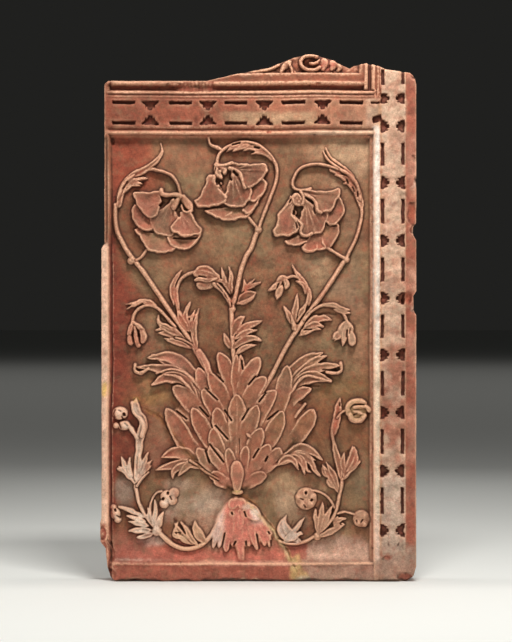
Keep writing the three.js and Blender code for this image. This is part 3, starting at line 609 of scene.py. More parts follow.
# Leaves on the middle stem, to its right
leaf(27, 8, 12, 3.5, 3, (-54, 668), (-36, 682), (-22, 690), (-10, 694))
leaf(8, 12, 15, 1, 1.5, (-56, 668), (-38, 672), (-22, 680), (-12, 690))
leaf(8, 9, 13, 1, 2, (-46, 694), (-38, 710), (-40, 727))
leaf(7, 9, 14, 1, 2, (-38, 698), (-28, 712), (-14, 727))
leaf(10, 9, 13, 1, 2, (-36, 702), (-18, 712), (0, 719))
leaf(9, 12, 15, 0, 2, (-66, 668), (-58, 690), dome=3)
leaf(22, 8, 14, 3, 2, (-68, 590), (-60, 612), (-48, 630), (-38, 637))
leaf(16, 9, 14, 2.5, 2, (-60, 594), (-40, 610), (-16, 619), (5, 627))
leaf(13, 10, 15, 1.5, 2, (-64, 582), (-44, 594), (-26, 602), (-8, 604))
leaf(17, 9, 14, 2, 2, (-66, 560), (-44, 578), (-18, 585), (4, 578))
leaf(12, 11, 15, 1, 2, (-60, 545), (-42, 560), (-26, 566), (-10, 568), dome=2)
leaf(14, 8, 11, 1.5, 2, (-72, 560), (-82, 580), (-88, 596))

# The hooked shoot of the right stem, with its bell
stalk(8, 13, (88, 625), (100, 645), (111, 668), (115, 690), (112, 708), (103, 722), (92, 730), (78, 734),
      (62, 728))
leaf(12, 10, 13, 2, 2.5, (112, 690), (108, 712), (96, 730), (84, 745), (77, 760))
leaf(10, 10, 13, 1.5, 2, (108, 690), (106, 710), (96, 718), (86, 722))
leaf(8, 10, 12, 1, 2, (116, 662), (120, 690), (116, 706))
leaf(14, 12, 14, 1, 2, (64, 730), (50, 728), (38, 716), dome=2)
leaf(12, 12, 14, 1, 2, (56, 728), (64, 716), (60, 702), dome=2)
leaf(14, 9, 12, 1, 2, (52, 722), (34, 708), (18, 699), dome=3)
leaf(17, 10, 12, 1, 2, (52, 712), (44, 694), (39, 678), dome=4)
drill(1.6, 8, (44, 716), (40, 706))
leaf(14, 9, 13, 2, 2.5, (84, 620), (82, 645), (86, 666), (88, 690))
leaf(12, 8, 12, 1.5, 2, (90, 636), (102, 652), (108, 668))
leaf(12, 9, 14, 1.5, 2, (76, 618), (68, 640), (56, 662))
leaf(9, 10, 14, 0, 2, (86, 600), (80, 618), (74, 640), dome=3)
stalk(9, 13, (105, 628), (124, 650), (146, 663), (168, 665), (188, 656), (202, 640), (208, 626))
leaf(10, 11, 13, 1.5, 2, (150, 664), (176, 664), (198, 655), (216, 653))
leaf(8, 10, 12, 1, 2, (176, 655), (196, 648), (216, 645))
leaf(20, 9, 13, 2.5, 2, (102, 600), (120, 620), (144, 634), (172, 628))
leaf(15, 9, 14, 2, 2.5, (96, 596), (116, 612), (134, 618), (151, 612))
leaf(11, 9, 13, 2, 2, (92, 590), (110, 600), (130, 608), (146, 606))
drills((3, 16, (140, 641), (160, 646), (180, 643)), (1.8, 9, (106, 605), (122, 606)))
leaf(15, 11, 13, 1, 2, (206, 626), (196, 608), (190, 590), (178, 578), dome=2)
leaf(12, 12, 15, 0, 2, (208, 626), (218, 610), (222, 596), dome=3)
leaf(15, 10, 12, 1, 2, (206, 622), (204, 600), (198, 566), dome=3)
leaf(18, 11, 14, 1, 2, (214, 604), (220, 585), (221, 566), dome=4, swell="lobe")
leaf(12, 9, 11, 1, 2, (190, 602), (180, 588), (174, 582), dome=2)
drills((1.8, 9, (209, 604), (207, 588)), (1.4, 7, (216, 606), (214, 596)))

# ---- The large lobed leaves at either side of the clump -----------------------------------------
leaf(36, 8, 15, 4, 2.5, (-150, 440), (-190, 500), (-225, 530), (-262, 545))
leaf(34, 9, 15, 4, 2.5, (-130, 440), (-170, 500), (-215, 538), (-274, 537))
leaf(26, 9, 16, 3.5, 2.5, (-140, 430), (-190, 496), (-245, 512), (-300, 515))
rounded("stem", 7, 13, 15, 3, (-270, 512), (-290, 500), (-303, 508), (-301, 520))
leaf(33, 10, 17, 4, 2.5, (-150, 420), (-185, 478), (-225, 490), (-262, 472))
rounded("tail", 8, 14, 17, 3, (-160, 440), (-176, 470), (-200, 492), (-230, 497))
rounded("tail", 7, 13, 15, 3, (-150, 470), (-180, 500), (-215, 510), (-250, 500))
drill(2.8, 16, (-214, 472), (-198, 474), (-180, 464))
leaf(34, 8, 15, 4, 2.5, (40, 430), (80, 500), (115, 535), (150, 549))
leaf(26, 8, 15, 3, 2.5, (50, 430), (90, 490), (130, 530), (160, 542))
leaf(26, 9, 16, 3.5, 2.5, (60, 440), (105, 496), (150, 515), (194, 519))
rounded("stem", 7, 13, 15, 3, (160, 503), (182, 500), (195, 508), (193, 524))
leaf(33, 10, 17, 4, 2.5, (68, 430), (100, 480), (130, 492), (172, 482))
rounded("tail", 7, 15, 17, 3, (70, 440), (88, 476), (110, 494), (142, 488), (170, 480))
drills((2.6, 15, (92, 462), (108, 470), (140, 470)), (1.8, 8, (150, 509), (184, 508)))

# ---- The clump of basal leaves: back ranks first ------------------------------------------------
def basal(*leaves, rib=0.9):
    """Ribbed leaves that fade into the clump at their roots: width, height low and high, and route."""
    for width, low, high, *route in leaves:
        lean = 1.6 if route[-1][0] < route[0][0] else -1.6
        blade(route, width, low - 1, high, 4.0, 2.3, rib, swell="spoon", channel=2.8, fade=0.42, tilt=lean)


def mound(low, high, middle, top_z, *outline):
    """The body of a clump, which rises towards its middle and foot."""
    closed = np.array(outline + outline[:1], float)
    where = window(closed, 14.0)
    away = distance(closed, where)
    inside = np.where(within(closed[:-1], where), away, -away)
    swell = bell((X[where] - middle) / 90.0) * smooth((top_z - Z[where]) / (top_z - 230.0))
    lay(where, FIELD + low + (high - low) * swell, smooth((inside + 6.0) / 10.0), over=False)


mound(7, 13, -54, 500, (-66, 226), (-112, 248), (-150, 290), (-196, 350), (-214, 396), (-190, 430),
      (-150, 480), (-118, 480), (-84, 520), (-54, 510), (-30, 500), (0, 470), (40, 490), (62, 480),
      (72, 440), (104, 424), (112, 390), (80, 340), (50, 300), (12, 250), (-40, 226))
basal(
    (36, 9, 15, (-66, 430), (-72, 480), (-86, 520), (-101, 549)),
    (18, 8, 14, (-52, 430), (-62, 490), (-57, 545)), (16, 8, 14, (-48, 430), (-44, 490), (-48, 545)),
    (36, 9, 15, (-50, 430), (-36, 480), (-20, 510), (-3, 539)),
    (26, 8, 14, (66, 405), (72, 430), (95, 452), (122, 463)),
    (30, 9, 15, (-115, 430), (-135, 470), (-150, 513)),
    (37, 10, 16, (-70, 380), (-88, 430), (-106, 470), (-124, 502)),
    (37, 10, 16, (30, 370), (45, 420), (57, 470), (64, 518)),
    (37, 10, 16, (-45, 390), (-30, 430), (-12, 465), (13, 491)),
    (40, 9, 15, (-130, 380), (-160, 420), (-182, 446), (-210, 468)),
    (37, 11, 17, (-80, 360), (-105, 410), (-120, 435), (-140, 461)),
    (38, 11, 17, (-22, 350), (-8, 390), (10, 428), (37, 459)),
    (40, 10, 16, (64, 318), (90, 350), (110, 380), (128, 413)))
rounded("stem", 5, 12, 14, 3, (84, 395), (93, 408), (108, 426))
basal(
    (44, 11, 17, (-110, 262), (-170, 320), (-200, 370), (-227, 415)),
    (38, 12, 18, (-90, 290), (-125, 345), (-148, 385), (-163, 417)),
    (38, 13, 18, (-70, 290), (-86, 340), (-98, 380), (-106, 418)))
basal((44, 14, 18, (-55, 300), (-55, 350), (-56, 400), (-58, 449)), rib=1.6)
basal(
    (38, 13, 18, (-45, 310), (-36, 350), (-24, 385), (-8, 422)),
    (40, 12, 18, (-22, 280), (5, 320), (32, 360), (53, 409)),
    (34, 14, 19, (-80, 262), (-96, 300), (-108, 335), (-115, 368)),
    (32, 13, 19, (-95, 255), (-120, 280), (-138, 300), (-152, 320)),
    (36, 14, 19, (-40, 268), (-24, 300), (-12, 335), (3, 368)))
rounded("bud", 6, 17, 18, 3, (-34, 356), (-28, 350), (-22, 345))
basal(
    (32, 15, 20, (-72, 255), (-92, 280), (-108, 300), (-122, 325)),
    (34, 15, 20, (-30, 256), (-12, 280), (6, 302), (21, 330)),
    (34, 13, 19, (-8, 258), (14, 276), (32, 296), (47, 321)),
    (24, 15, 17, (-62, 245), (-72, 290), (-78, 320)), (24, 15, 17, (-48, 245), (-40, 290), (-34, 325)))
ridge(3.5, 2, (-59, 285), (-58, 345), (-58, 400))
drill(1.4, 4, (-51, 342), (-50, 288))
basal(
    (30, 17, 19, (-66, 228), (-92, 240), (-108, 252), (-123, 252)),
    (30, 17, 19, (-46, 226), (-20, 240), (2, 252), (15, 252)))
leaf(32, 19, 21, 0, 1.5, (-56, 226), (-56, 256), (-57, 290), dome=4, swell="lobe")
for route in (
    ((-112, 501), (-90, 480)), ((-45, 530), (-43, 510)), ((-12, 493), (-28, 473)), ((13, 453), (-3, 432)),
    ((-132, 463), (-104, 437)), ((-86, 411), (-70, 387)), ((-146, 418), (-126, 396)),
    ((-202, 409), (-178, 390)), ((-29, 413), (-44, 388)), ((42, 408), (18, 389)), ((-108, 374), (-79, 342)),
    ((-122, 330), (-89, 287)), ((-132, 313), (-123, 286)), ((-4, 318), (-17, 297)), ((17, 300), (12, 289)),
):
    drill(2.1, 13, *route)

# The lower leaves at either side
leaf(30, 9, 15, 4, 2.5, (-150, 290), (-180, 306), (-210, 308), (-239, 297))
leaf(20, 9, 14, 2, 2, (-140, 270), (-180, 284), (-222, 276), (-255, 266))
leaf(17, 11, 16, 1, 2, (-150, 284), (-190, 276), (-210, 262), (-211, 246))
leaf(19, 10, 15, 2, 2, (-140, 270), (-166, 282), (-184, 270), (-198, 253))
stalk(9, 13, (-100, 245), (-130, 262), (-150, 278), (-170, 290))
leaf(24, 10, 15, 3, 2.5, (30, 280), (66, 300), (98, 320), (125, 311), (150, 290))
leaf(16, 11, 15, 2, 2, (60, 292), (92, 306), (114, 300), (133, 290))
leaf(17, 12, 16, 1.5, 2.5, (50, 280), (90, 302), (118, 290), (130, 268), (145, 251))
leaf(14, 12, 16, 1.5, 2.5, (50, 280), (84, 300), (104, 288), (112, 268), (122, 262))
leaf(14, 12, 16, 1.5, 2.5, (50, 280), (80, 299), (98, 284), (107, 256))
leaf(15, 13, 17, 1, 2.5, (40, 278), (62, 296), (80, 290), (92, 268))
leaf(13, 9, 12, 2, 2.5, (150, 275), (155, 262), (168, 246))
leaf(13, 9, 12, 1, 2, (160, 244), (170, 232), (183, 222))

# ---- The scrolls that grow out of the root clump ------------------------------------------------
# The left scroll, with a rosette at its tip, a curled shoot and a round bud beside it
stalk(13, 12, (-95, 150), (-108, 128), (-120, 108), (-140, 88), (-162, 79), (-184, 77), (-205, 84),
      (-222, 95), (-238, 110), (-248, 124))
stalk(10, 13, (-244, 118), (-262, 138), (-280, 162), (-292, 186), (-298, 212), (-302, 245), (-300, 280),
      (-295, 318), (-288, 348), (-283, 372))
leaf(13, 9, 11, 1.5, 2, (-298, 250), (-297, 290), (-288, 330), (-284, 360))
leaf(20, 9, 12, 2, 2.5, (-296, 300), (-290, 345), (-282, 378), (-290, 398), (-303, 415), (-303, 436))
rounded("stem", 9, 13, 14, 4, (-286, 350), (-281, 372), (-290, 392), (-304, 408), (-308, 428))
leaf(8, 8, 12, 0, 2, (-298, 345), (-310, 365), (-322, 380), dome=3, swell="stem")
leaf(12, 8, 11, 1.5, 2, (-284, 395), (-296, 412), (-300, 440))
knobs((-338, 404, 19, 15, 0.85, 0.35), (-328, 374, 15, 13, 0.8, 0.35), (-348, 374, 8, 11))
drills((3.4, 14, (-329, 402), (-328, 400)), (2.4, 9, (-352, 388), (-342, 385), (-330, 388)),
       (1.8, 6, (-350, 412), (-354, 402), (-350, 394)), (1.8, 8, (-334, 396), (-329, 388)),
       (1.6, 5, (-342, 412), (-336, 408)), (1.8, 7, (-340, 378), (-336, 368)),
       (1.6, 5, (-326, 380), (-320, 374)))
stalk(8, 11, (-303, 236), (-320, 254), (-336, 266), (-343, 270))
leaf(14, 8, 12, 1, 2, (-306, 240), (-325, 262), (-342, 276))
leaf(12, 8, 13, 1, 2, (-308, 248), (-325, 272), (-336, 300))
leaf(9, 8, 12, 1, 2, (-308, 250), (-316, 272), (-315, 296))
leaf(13, 8, 13, 1, 2, (-300, 236), (-286, 258), (-264, 277))
leaf(11, 8, 12, 1, 2, (-292, 254), (-278, 272), (-262, 290))
leaf(12, 8, 12, 1, 2, (-290, 258), (-282, 282), (-271, 309))
leaf(9, 8, 12, 1, 2, (-294, 260), (-290, 282), (-292, 306))
stalk(7, 13, (-298, 228), (-286, 246), (-270, 262))
stalk(6, 11, (-262, 150), (-266, 176), (-260, 198), (-250, 212), (-238, 216))
knobs((-226, 204, 16, 14, 0.9, 0.35), (-208, 212, 13, 14, 1, 0.35), (-232, 186, 12, 13, 1, 0.35),
      (-212, 194, 12, 13, 1, 0.35))
drills((3, 14, (-223, 212), (-223, 210)), (3, 14, (-234, 199), (-235, 197)),
       (1.6, 8, (-218, 204), (-214, 196)))
leaf(11, 9, 12, 1.5, 2.5, (-254, 124), (-256, 150), (-252, 172), (-255, 196))
leaf(12, 8, 11, 1.5, 2.5, (-258, 130), (-268, 152), (-271, 176))
leaf(14, 8, 12, 1.5, 2.5, (-246, 124), (-242, 146), (-234, 166))
stalk(7, 10, (-300, 160), (-316, 168), (-330, 174), (-340, 178))
leaf(11, 8, 11, 1, 2, (-276, 152), (-298, 162), (-318, 172), (-338, 180))
knobs((-355, 176, 9, 11), (-350, 162, 13, 14, 1.1, 0.4), (-344, 148, 9, 12))
drills((2.6, 10, (-350, 172), (-349, 169)), (1.6, 7, (-346, 158), (-338, 152)))
leaf(11, 9, 13, 1, 2, (-276, 142), (-296, 150), (-322, 157))
leaf(12, 9, 13, 1, 2, (-268, 132), (-292, 138), (-318, 143))
leaf(14, 8, 12, 1, 2, (-262, 122), (-290, 122), (-318, 120))
leaf(12, 7, 9, 1, 2, (-256, 116), (-276, 108), (-300, 104))
knob(-250, 120, 13, 15, 1, 0.6)
leaf(16, 9, 13, 3, 2.5, (-160, 88), (-182, 100), (-196, 118), (-206, 138))
leaf(9, 8, 12, 1, 2, (-168, 88), (-190, 104), (-208, 112), (-200, 140))
leaf(12, 9, 13, 2, 2.5, (-150, 84), (-168, 104), (-178, 124), (-192, 142))
leaf(22, 9, 14, 3, 2.5, (-132, 92), (-146, 108), (-155, 124), (-158, 144))
drills((1.8, 7, (-192, 116), (-204, 116)), (1.8, 8, (-170, 132), (-164, 116)))

# The right scroll, with a rosette at its tip, a five-lobed flower inside it and a round bud
stalk(9, 10, (46, 96), (62, 91), (84, 89), (108, 95), (128, 106), (138, 116))
stalk(10, 14, (134, 112), (148, 122), (162, 136), (176, 154), (184, 176), (189, 200), (194, 220),
      (196, 242), (193, 262), (190, 282), (186, 302), (180, 322), (174, 344), (173, 362), (177, 384),
      (184, 402))
leaf(15, 10, 12, 1.5, 2.5, (194, 240), (190, 275), (181, 312), (172, 344))
leaf(14, 9, 12, 1, 2, (178, 350), (182, 378), (194, 400))
leaf(15, 9, 13, 2.5, 2.5, (178, 386), (186, 408), (188, 424), (192, 440))
drill(2, 8, (191, 428), (191, 422))
stalk(7, 12, (184, 392), (196, 406), (212, 414))
knob(233, 412, 25, 13, 1.08, 0.35)
rounded("stem", 11, 14, 15, 4, (212, 404), (210, 420), (224, 432), (244, 433), (250, 428))
rounded("stem", 11, 13, 14, 4, (214, 402), (222, 388), (240, 387), (250, 398))
rounded("stem", 9, 14, 15, 3, (226, 418), (240, 420), (254, 420), (262, 411))
rounded("leaf", 8, 14, 15, 3, (222, 410), (236, 406), (248, 402))
drills((1.5, 8, (224, 424), (236, 425), (250, 426)), (1.5, 7, (224, 400), (232, 404)))
stalk(8, 12, (197, 244), (208, 260), (222, 276), (238, 287))
leaf(14, 9, 13, 1, 2, (200, 244), (216, 268), (240, 287))
leaf(20, 9, 13, 2, 2.5, (200, 248), (214, 276), (220, 300), (222, 324))
leaf(13, 8, 12, 1.5, 2, (204, 258), (198, 284), (202, 308))
leaf(12, 9, 13, 1.5, 2.5, (206, 262), (226, 284), (230, 306), (226, 322))
drill(2.8, 12, (211, 312), (211, 303))
leaf(14, 9, 12, 1.5, 2.5, (188, 212), (176, 238), (160, 262), (149, 280))
leaf(13, 8, 12, 1.5, 2.5, (188, 216), (182, 240), (172, 262), (158, 286))
stalk(6.5, 11, (178, 176), (170, 192), (158, 205), (142, 214), (126, 218))
knob(110, 198, 26, 14, 1.05, 0.3)
for turn in 2 * math.pi * (np.arange(5) + 0.3) / 5:  # five lobes round a boss
    knob(110 + 15 * math.cos(turn), 198 + 15 * math.sin(turn), 12, 16.5)
drills((3, 14, (109.5, 213), (109.5, 211)), (2.6, 12, (124, 196), (123, 194)),
       (1.6, 6, (96, 199), (103, 196)), (1.6, 6, (104, 184), (108, 178)), (2.4, 12, (133, 176), (135, 174)),
       (2.4, 10, (161, 182), (162, 178)))
leaf(13, 10, 13, 1, 2, (138, 114), (136, 140), (132, 156), (133, 172))
leaf(16, 10, 14, 1.5, 2, (140, 116), (146, 144), (147, 166), (149, 188))
leaf(14, 10, 13, 1, 2, (144, 118), (154, 140), (162, 160), (173, 181))
leaf(14, 9, 13, 1, 2.5, (140, 106), (166, 118), (186, 128), (203, 136))
leaf(11, 8, 11, 1, 2, (176, 134), (182, 146), (186, 156))
leaf(10, 8, 11, 1, 2, (176, 136), (192, 148), (206, 150))
leaf(9, 8, 11, 1, 2, (176, 130), (190, 140), (201, 136))
drill(1.8, 8, (198, 143), (192, 139))
knob(137, 107, 10, 15, 1, 0.7)
stalk(6.5, 11, (186, 162), (202, 166), (216, 163), (226, 160))
knobs((243, 150, 21, 14, 1, 0.35), (236, 142, 11, 16), (250, 156, 11, 16), (250, 138, 9, 15))
drills((1.8, 8, (231, 146), (232, 142)), (1.6, 7, (242, 142), (246, 148)))

# The leaf pair in the bend of the right scroll
leaf(22, 9, 13, 2, 2, (98, 92), (80, 104), (58, 112), (50, 130), (62, 158))
leaf(18, 9, 13, 2, 2, (84, 96), (70, 116), (58, 134), (60, 154))
leaf(12, 10, 14, 1, 2, (60, 104), (80, 118), (92, 134), (106, 152))
leaf(18, 10, 13, 1, 2, (56, 98), (76, 106), (92, 114), (103, 112))
drills((1.8, 8, (78, 144), (74, 132)), (1.8, 8, (96, 122), (88, 118)))

# ---- The root clump: leaf tips that hang down, each with its width and height -------------------
mound(10, 14, -50, 60, (-60, 204), (-80, 189), (-103, 157), (-114, 122), (-112, 94), (-84, 92), (-50, 80),
      (-10, 92), (22, 98), (28, 114), (6, 152), (-40, 195))
for width, rise, *route in (
    (15, 12, (-74, 188), (-90, 156), (-104, 122), (-114, 79)),
    (16, 13, (-68, 184), (-80, 150), (-92, 115), (-101, 80)),
    (17, 12, (-20, 142), (0, 118), (8, 100), (11, 84)), (13, 11, (-8, 138), (10, 116), (20, 98), (22, 81)),
    (20, 13, (-70, 152), (-76, 118), (-82, 95), (-83, 71)),
    (18, 13, (-38, 142), (-24, 118), (-14, 100), (-8, 75)),
    (14, 12, (-62, 142), (-64, 115), (-66, 98), (-68, 84)),
    (14, 12, (-44, 142), (-38, 118), (-32, 98), (-26, 84)),
    (32, 15, (-46, 188), (-28, 172), (-14, 160), (-2, 149)), (22, 15, (-60, 202), (-64, 190), (-70, 174)),
    (20, 15, (-56, 200), (-46, 188), (-44, 174)),
):
    blade(route, width, rise, rise, 1.0, 1.5, channel=1.2, swell="lobe", fade=0.35)
# The central strand, which runs down to the foot, a leaf on it, then ribs on the tips and slots between
blade([(-54, 150), (-54, 112), (-50, 82), (-44, 40)], 28, 14, 10, rim=0.8, dome=1, swell="tail", slope=4.0,
      channel=0, over=False)
leaf(15, 14, 15, 1, 1.6, (-50, 168), (-48, 148), (-51, 124), swell="lobe")
for route in (
    ((-62, 150), (-66, 122), (-69, 98)), ((-44, 124), (-41, 100)), ((-32, 148), (-28, 118), (-18, 96)),
    ((-14, 142), (-13, 122), (-10, 100)), ((-80, 168), (-90, 140), (-98, 110)), ((-2, 136), (8, 116)),
):
    ridge(4.5, 2, *route)
for route in (
    ((-86, 115), (-92, 84)), ((-39, 167), (-35, 156)), ((-9, 112), (-3, 77)), ((25, 97), (26, 84)),
    ((-60, 95), (-64, 87)), ((-35, 95), (-34, 87)), ((19, 118), (22, 114)), ((-69, 165), (-68, 161)),
):
    drill(1.9, 12, *route)
knob(-55, 214, 14, 19, 0.5, 0.4)


# ---- The broken crest ---------------------------------------------------------------------------
lumps = grain(9.0)
small_lumps = grain(3.5)
fine = grain(1.4)
CREST_FLOOR = FRONT - 16.0
COMB_PITCH = 9.0
crest = smooth((waver_z - STUMP_Z) / 3) * smooth((240 - waver_x) / 4)
relief -= crest * (3.0 + 0.22 * np.clip(Z - STUMP_Z, 0, 60) - 2.2 * lumps - 1.2 * small_lumps)

# Stumps of the carving that once stood above: a curl, two ribs and the ends of leaves
for width, rise, swell, *route in (
    (9, 13, "stem", (143, 1236), (130, 1230), (112, 1231), (99, 1240), (97, 1252), (106, 1262), (122, 1265),
     (136, 1262)), (9, 9, "bud", (116, 1247), (126, 1245), (138, 1249), (142, 1256)),
    (7, 5, "stem", (-60, 1226), (-20, 1236), (20, 1247)),
    (8, 6, "stem", (-20, 1224), (20, 1231), (44, 1242)),
    (14, 8, "lobe", (186, 1228), (190, 1236), (184, 1244)),
    (16, 10, "lobe", (50, 1226), (60, 1240), (74, 1252)),
    (9, 12, "lobe", (76, 1224), (72, 1240), (60, 1250)),
    (20, 11, "lobe", (150, 1232), (154, 1246), (150, 1258)),
    (20, 9, "lobe", (172, 1232), (176, 1242), (168, 1252)),
):
    where, away, _, t = nearest(spline(route), width)
    half = width / 2 * SWELLS[swell](t)
    dome = np.sqrt(np.clip(1.0 - (away / np.maximum(half, 0.5)) ** 2, 0, 1))
    relief[where] = np.maximum(relief[where], np.where(away < half, CREST_FLOOR + rise * dome, 0))
drill(6.0, 10, (80, 1242), (90, 1230), floor=4.0)

# A worn comb of leaf tips over the upper mouldings, and the ledge of the foot
worn = smooth((X + 205) / 20) * smooth((-95 - X) / 30) * smooth((Z - 1174) / 4)
comb = np.cos(X * 2 * math.pi / COMB_PITCH + 1.2 * lumps)
relief += worn * (np.clip(84.0 + 0.9 * comb + 1.2 * small_lumps, 0, 89.5) - relief) * 0.6
relief -= 1.3 * smooth((29 + 1.5 * small_lumps - Z) / 2) * smooth((X + 150) / 12) * smooth((80 - X) / 12)

# ---- Breaks, chips and worn edges: x, z, half width, half height, depth ---------------------------
for x, z, wide, high, depth in (
    (365, 880, 15, 24, 9), (369, 842, 14, 14, 6), (352, 680, 19, 22, 9), (372, 650, 14, 9, 4),
    (366, 1010, 7, 16, 2.5), (372, 960, 6, 14, 2.5), (20, 1079, 7, 4, 4), (-190, 1078, 14, 3, 2.5),
    (-60, 1077, 9, 2.5, 2.5), (80, 1077, 6, 2.5, 2), (181, 1079, 10, 2.5, 2), (60, 1198, 22, 4, 2),
    (140, 1197, 14, 3, 2), (-30, 1222, 20, 3, 2), (345, 10, 22, 12, 7), (302, 56, 14, 8, 2.5),
    (-372, 60, 18, 40, 8), (-380, 118, 10, 22, 5), (-366, 18, 20, 16, 9), (-300, 4, 24, 6, 4),
    (-30, 3, 30, 5, 4), (85, 40, 12, 5, 2.5), (-375, 806, 9, 10, 3), (-368, 1198, 12, 9, 4),
    (368, 1214, 10, 9, 4), (342, 924, 9, 8, 3), (330, 958, 12, 8, 3), (-46, 30, 12, 5, 1.5),
    (330, 455, 8, 12, 2), (345, 560, 6, 10, 2), (-195, 150, 20, 24, 1.2), (270, 300, 4, 30, 0.8),
    (-210, 1195, 26, 6, 2.0), (-355, 1060, 9, 14, 2.0),
):
    where = window(np.array([[x, z]]), max(wide, high) + 6)
    away = np.hypot((X[where] - x) / wide, (Z[where] - z) / high) + 0.16 * lumps[where]
    relief[where] -= smooth((1.0 - away) / 0.35) * (depth + 1.5 * small_lumps[where] + 0.75 * lumps[where])

# Small nicks along the edges of the frame
steep = np.hypot(*np.gradient(blur(relief, 1.5)))
nicks = smooth((grain(3.0) - 1.35) / 0.8) * smooth((steep - 0.25) / 0.5) * smooth((Z - 20) / 10)
on_frame = np.maximum(smooth((X - 262) / 4), smooth((Z - 1070) / 4))
on_frame = np.maximum(on_frame, smooth((50 - Z) / 4))
relief -= nicks * on_frame * 2.4

# The repaired break: a shallow seam, filled almost flush
MEND = ((-374, 462), (-330, 440), (-290, 420), (-244, 396), (-224, 368), (-200, 340), (-165, 296),
        (-128, 257), (-100, 238), (-76, 223), (-58, 214), (-43, 206), (-26, 191), (0, 162), (16, 142),
        (36, 120), (52, 95), (64, 73), (73, 52), (85, 30), (96, 2))
MEND_ROWS = 520
mend = np.full_like(relief, 60.0)
mend[:MEND_ROWS] = distance(spline(MEND, 6.0), (slice(0, MEND_ROWS), slice(0, COLUMNS)))
mend += 1.3 * lumps + 0.8 * small_lumps
lower_mend = smooth((220 - Z) / 30)
seam = smooth((Z - 190) / 20) * smooth((430 - Z) / 30)
seam_depth = (1.6 + 0.5 * small_lumps) * (0.4 + 0.6 * np.maximum(seam, lower_mend))
relief -= smooth((2.6 - mend) / 2.0) * seam_depth
relief += smooth((3.0 + 2.5 * smooth((60 - Z) / 20) - np.abs(mend - 4.5)) / 2.5) * lower_mend * 1.4

# Hand finish: gentle hollows, tool marks, grain
relief += 0.5 * grain(22.0) + 0.28 * grain(7.0) + 0.22 * fine + 0.2 * small_lumps * on_frame
relief += 0.16 * grain(3.0) * smooth((FIELD + 8 - relief) / 6)
soft = blur(relief, 0.9)
relief = soft + 0.25 * (relief - soft)
relief -= smooth((34 - Z + 6 * lumps) / 20) * (0.8 - 0.6 * small_lumps)
relief = np.minimum(relief, FRONT - 0.15)

# ---- Maps for the finish: dirt and painted shade in the hollows, wear and painted highlights on the edges ---
# Dirt and painted shade: the deeper a spot lies below its surroundings, the darker it is painted
hollow = 0.95 * smooth((blur(relief, 2.2) - relief - 0.15) / 2.4)
hollow += 0.35 * smooth((blur(relief, 6.0) - relief) / 7.0)
# Wear and painted highlights: the more a spot stands proud of its surroundings, the paler it is painted
proud = 0.9 * smooth((relief - blur(relief, 1.8) - 0.15) / 0.9)
proud += 0.6 * smooth((relief - blur(relief, 5.0) - 1.4) / 3.0)
plain_band = np.maximum(smooth((X - 287) / 3) * smooth((1225 - Z) / 6),
                        smooth((Z - 1090) / 4) * smooth((1161 - Z) / 3))
upper_margin = smooth((-352 - X) / 4) * smooth((Z - 800) / 12)
proud *= (1 - 0.7 * plain_band) * (1 - 0.75 * upper_margin) * np.clip(1.0 + 0.35 * grain(30.0), 0.4, 1.4)

# ---- The stone's broken outline, millimetres: along the edge, and where the edge lies ------------
LEFT_EDGE = ((0, -352), (8, -362), (30, -368), (78, -373), (96, -385), (140, -385.5), (152, -382),
             (800, -382), (812, -375), (1195, -375), (1203, -368), (1300, -368))
RIGHT_EDGE = ((0, 354), (12, 368), (34, 374), (640, 374), (652, 368), (686, 367), (698, 374), (820, 374),
              (832, 367), (850, 366), (862, 374), (1196, 374), (1212, 371), (1222, 361), (1300, 361))
TOP_EDGE = ((-400, 1195), (-375, 1195), (-368, 1203), (-130, 1203), (-100, 1210), (-50, 1222), (22, 1237),
            (58, 1252), (80, 1261), (112, CREST), (140, 1265), (170, 1256), (200, 1241), (215, 1234),
            (226, 1241), (255, 1245), (284, 1239), (300, 1231), (361, 1222), (371, 1212), (374, 1196),
            (400, 1196))
FOOT_EDGE = ((-400, 30), (-368, 30), (-362, 8), (-352, 0), (354, 0), (368, 12), (374, 34), (400, 34))
WIDEST_LEFT, WIDEST_RIGHT = -380.0, 374.0
SETTLING_ROUNDS = 6  # how often the sheet is drawn onto the outline
ACROSS, UP = 697, 1161  # points of the front sheet
BACK_STRIDE = 8  # the back sheet keeps every eighth point
WALL_DEPTHS = np.array([1.5, 4.0, 8.0, 14.0, 22.0, 31.0, 40.0, 49.0, 58.0, 67.0, 75.0, 81.0, 86.0])
SMALLEST_ARRIS, LARGEST_ARRIS = 0.8, 9.0
FOOT_UNDERCUT = 22.0  # how far the broken foot goes back


def sample(field, x, z):
    """Bilinear reading of a map at points of the panel."""
    column = np.clip((x - X_MIN) / STEP, 0, COLUMNS - 1.001)
    row = np.clip((z - Z_MIN) / STEP, 0, ROWS - 1.001)
    i, j = row.astype(int), column.astype(int)
    a, b = row - i, column - j
    low = field[i, j] * (1 - b) + field[i, j + 1] * b
    high = field[i + 1, j] * (1 - b) + field[i + 1, j + 1] * b
    return low * (1 - a) + high * a


def ring_of(field):
    """The border of a sheet, in order round it."""
    return np.concatenate([field[0, :-1], field[:-1, -1], field[-1, :0:-1], field[:0:-1, 0]])


def ring_noise(rows, radius_along, radius_down):
    """Smooth random map for the walls, which closes round the stone."""
    field = rng.standard_normal((rows, RING))
    kz = np.fft.fftfreq(rows)[:, None]
    kx = np.fft.rfftfreq(RING)[None, :]
    keep = np.exp(-2 * math.pi**2 * ((kx * radius_along) ** 2 + (kz * radius_down) ** 2))
    field = np.fft.irfft2(np.fft.rfft2(field) * keep, s=field.shape)
    return field / field.std()


def quads(a, b, c, d):
    """Two triangles for each quad."""
    a, b, c, d = a.ravel(), b.ravel(), c.ravel(), d.ravel()
    return np.concatenate([np.stack([a, b, c], 1), np.stack([a, c, d], 1)])


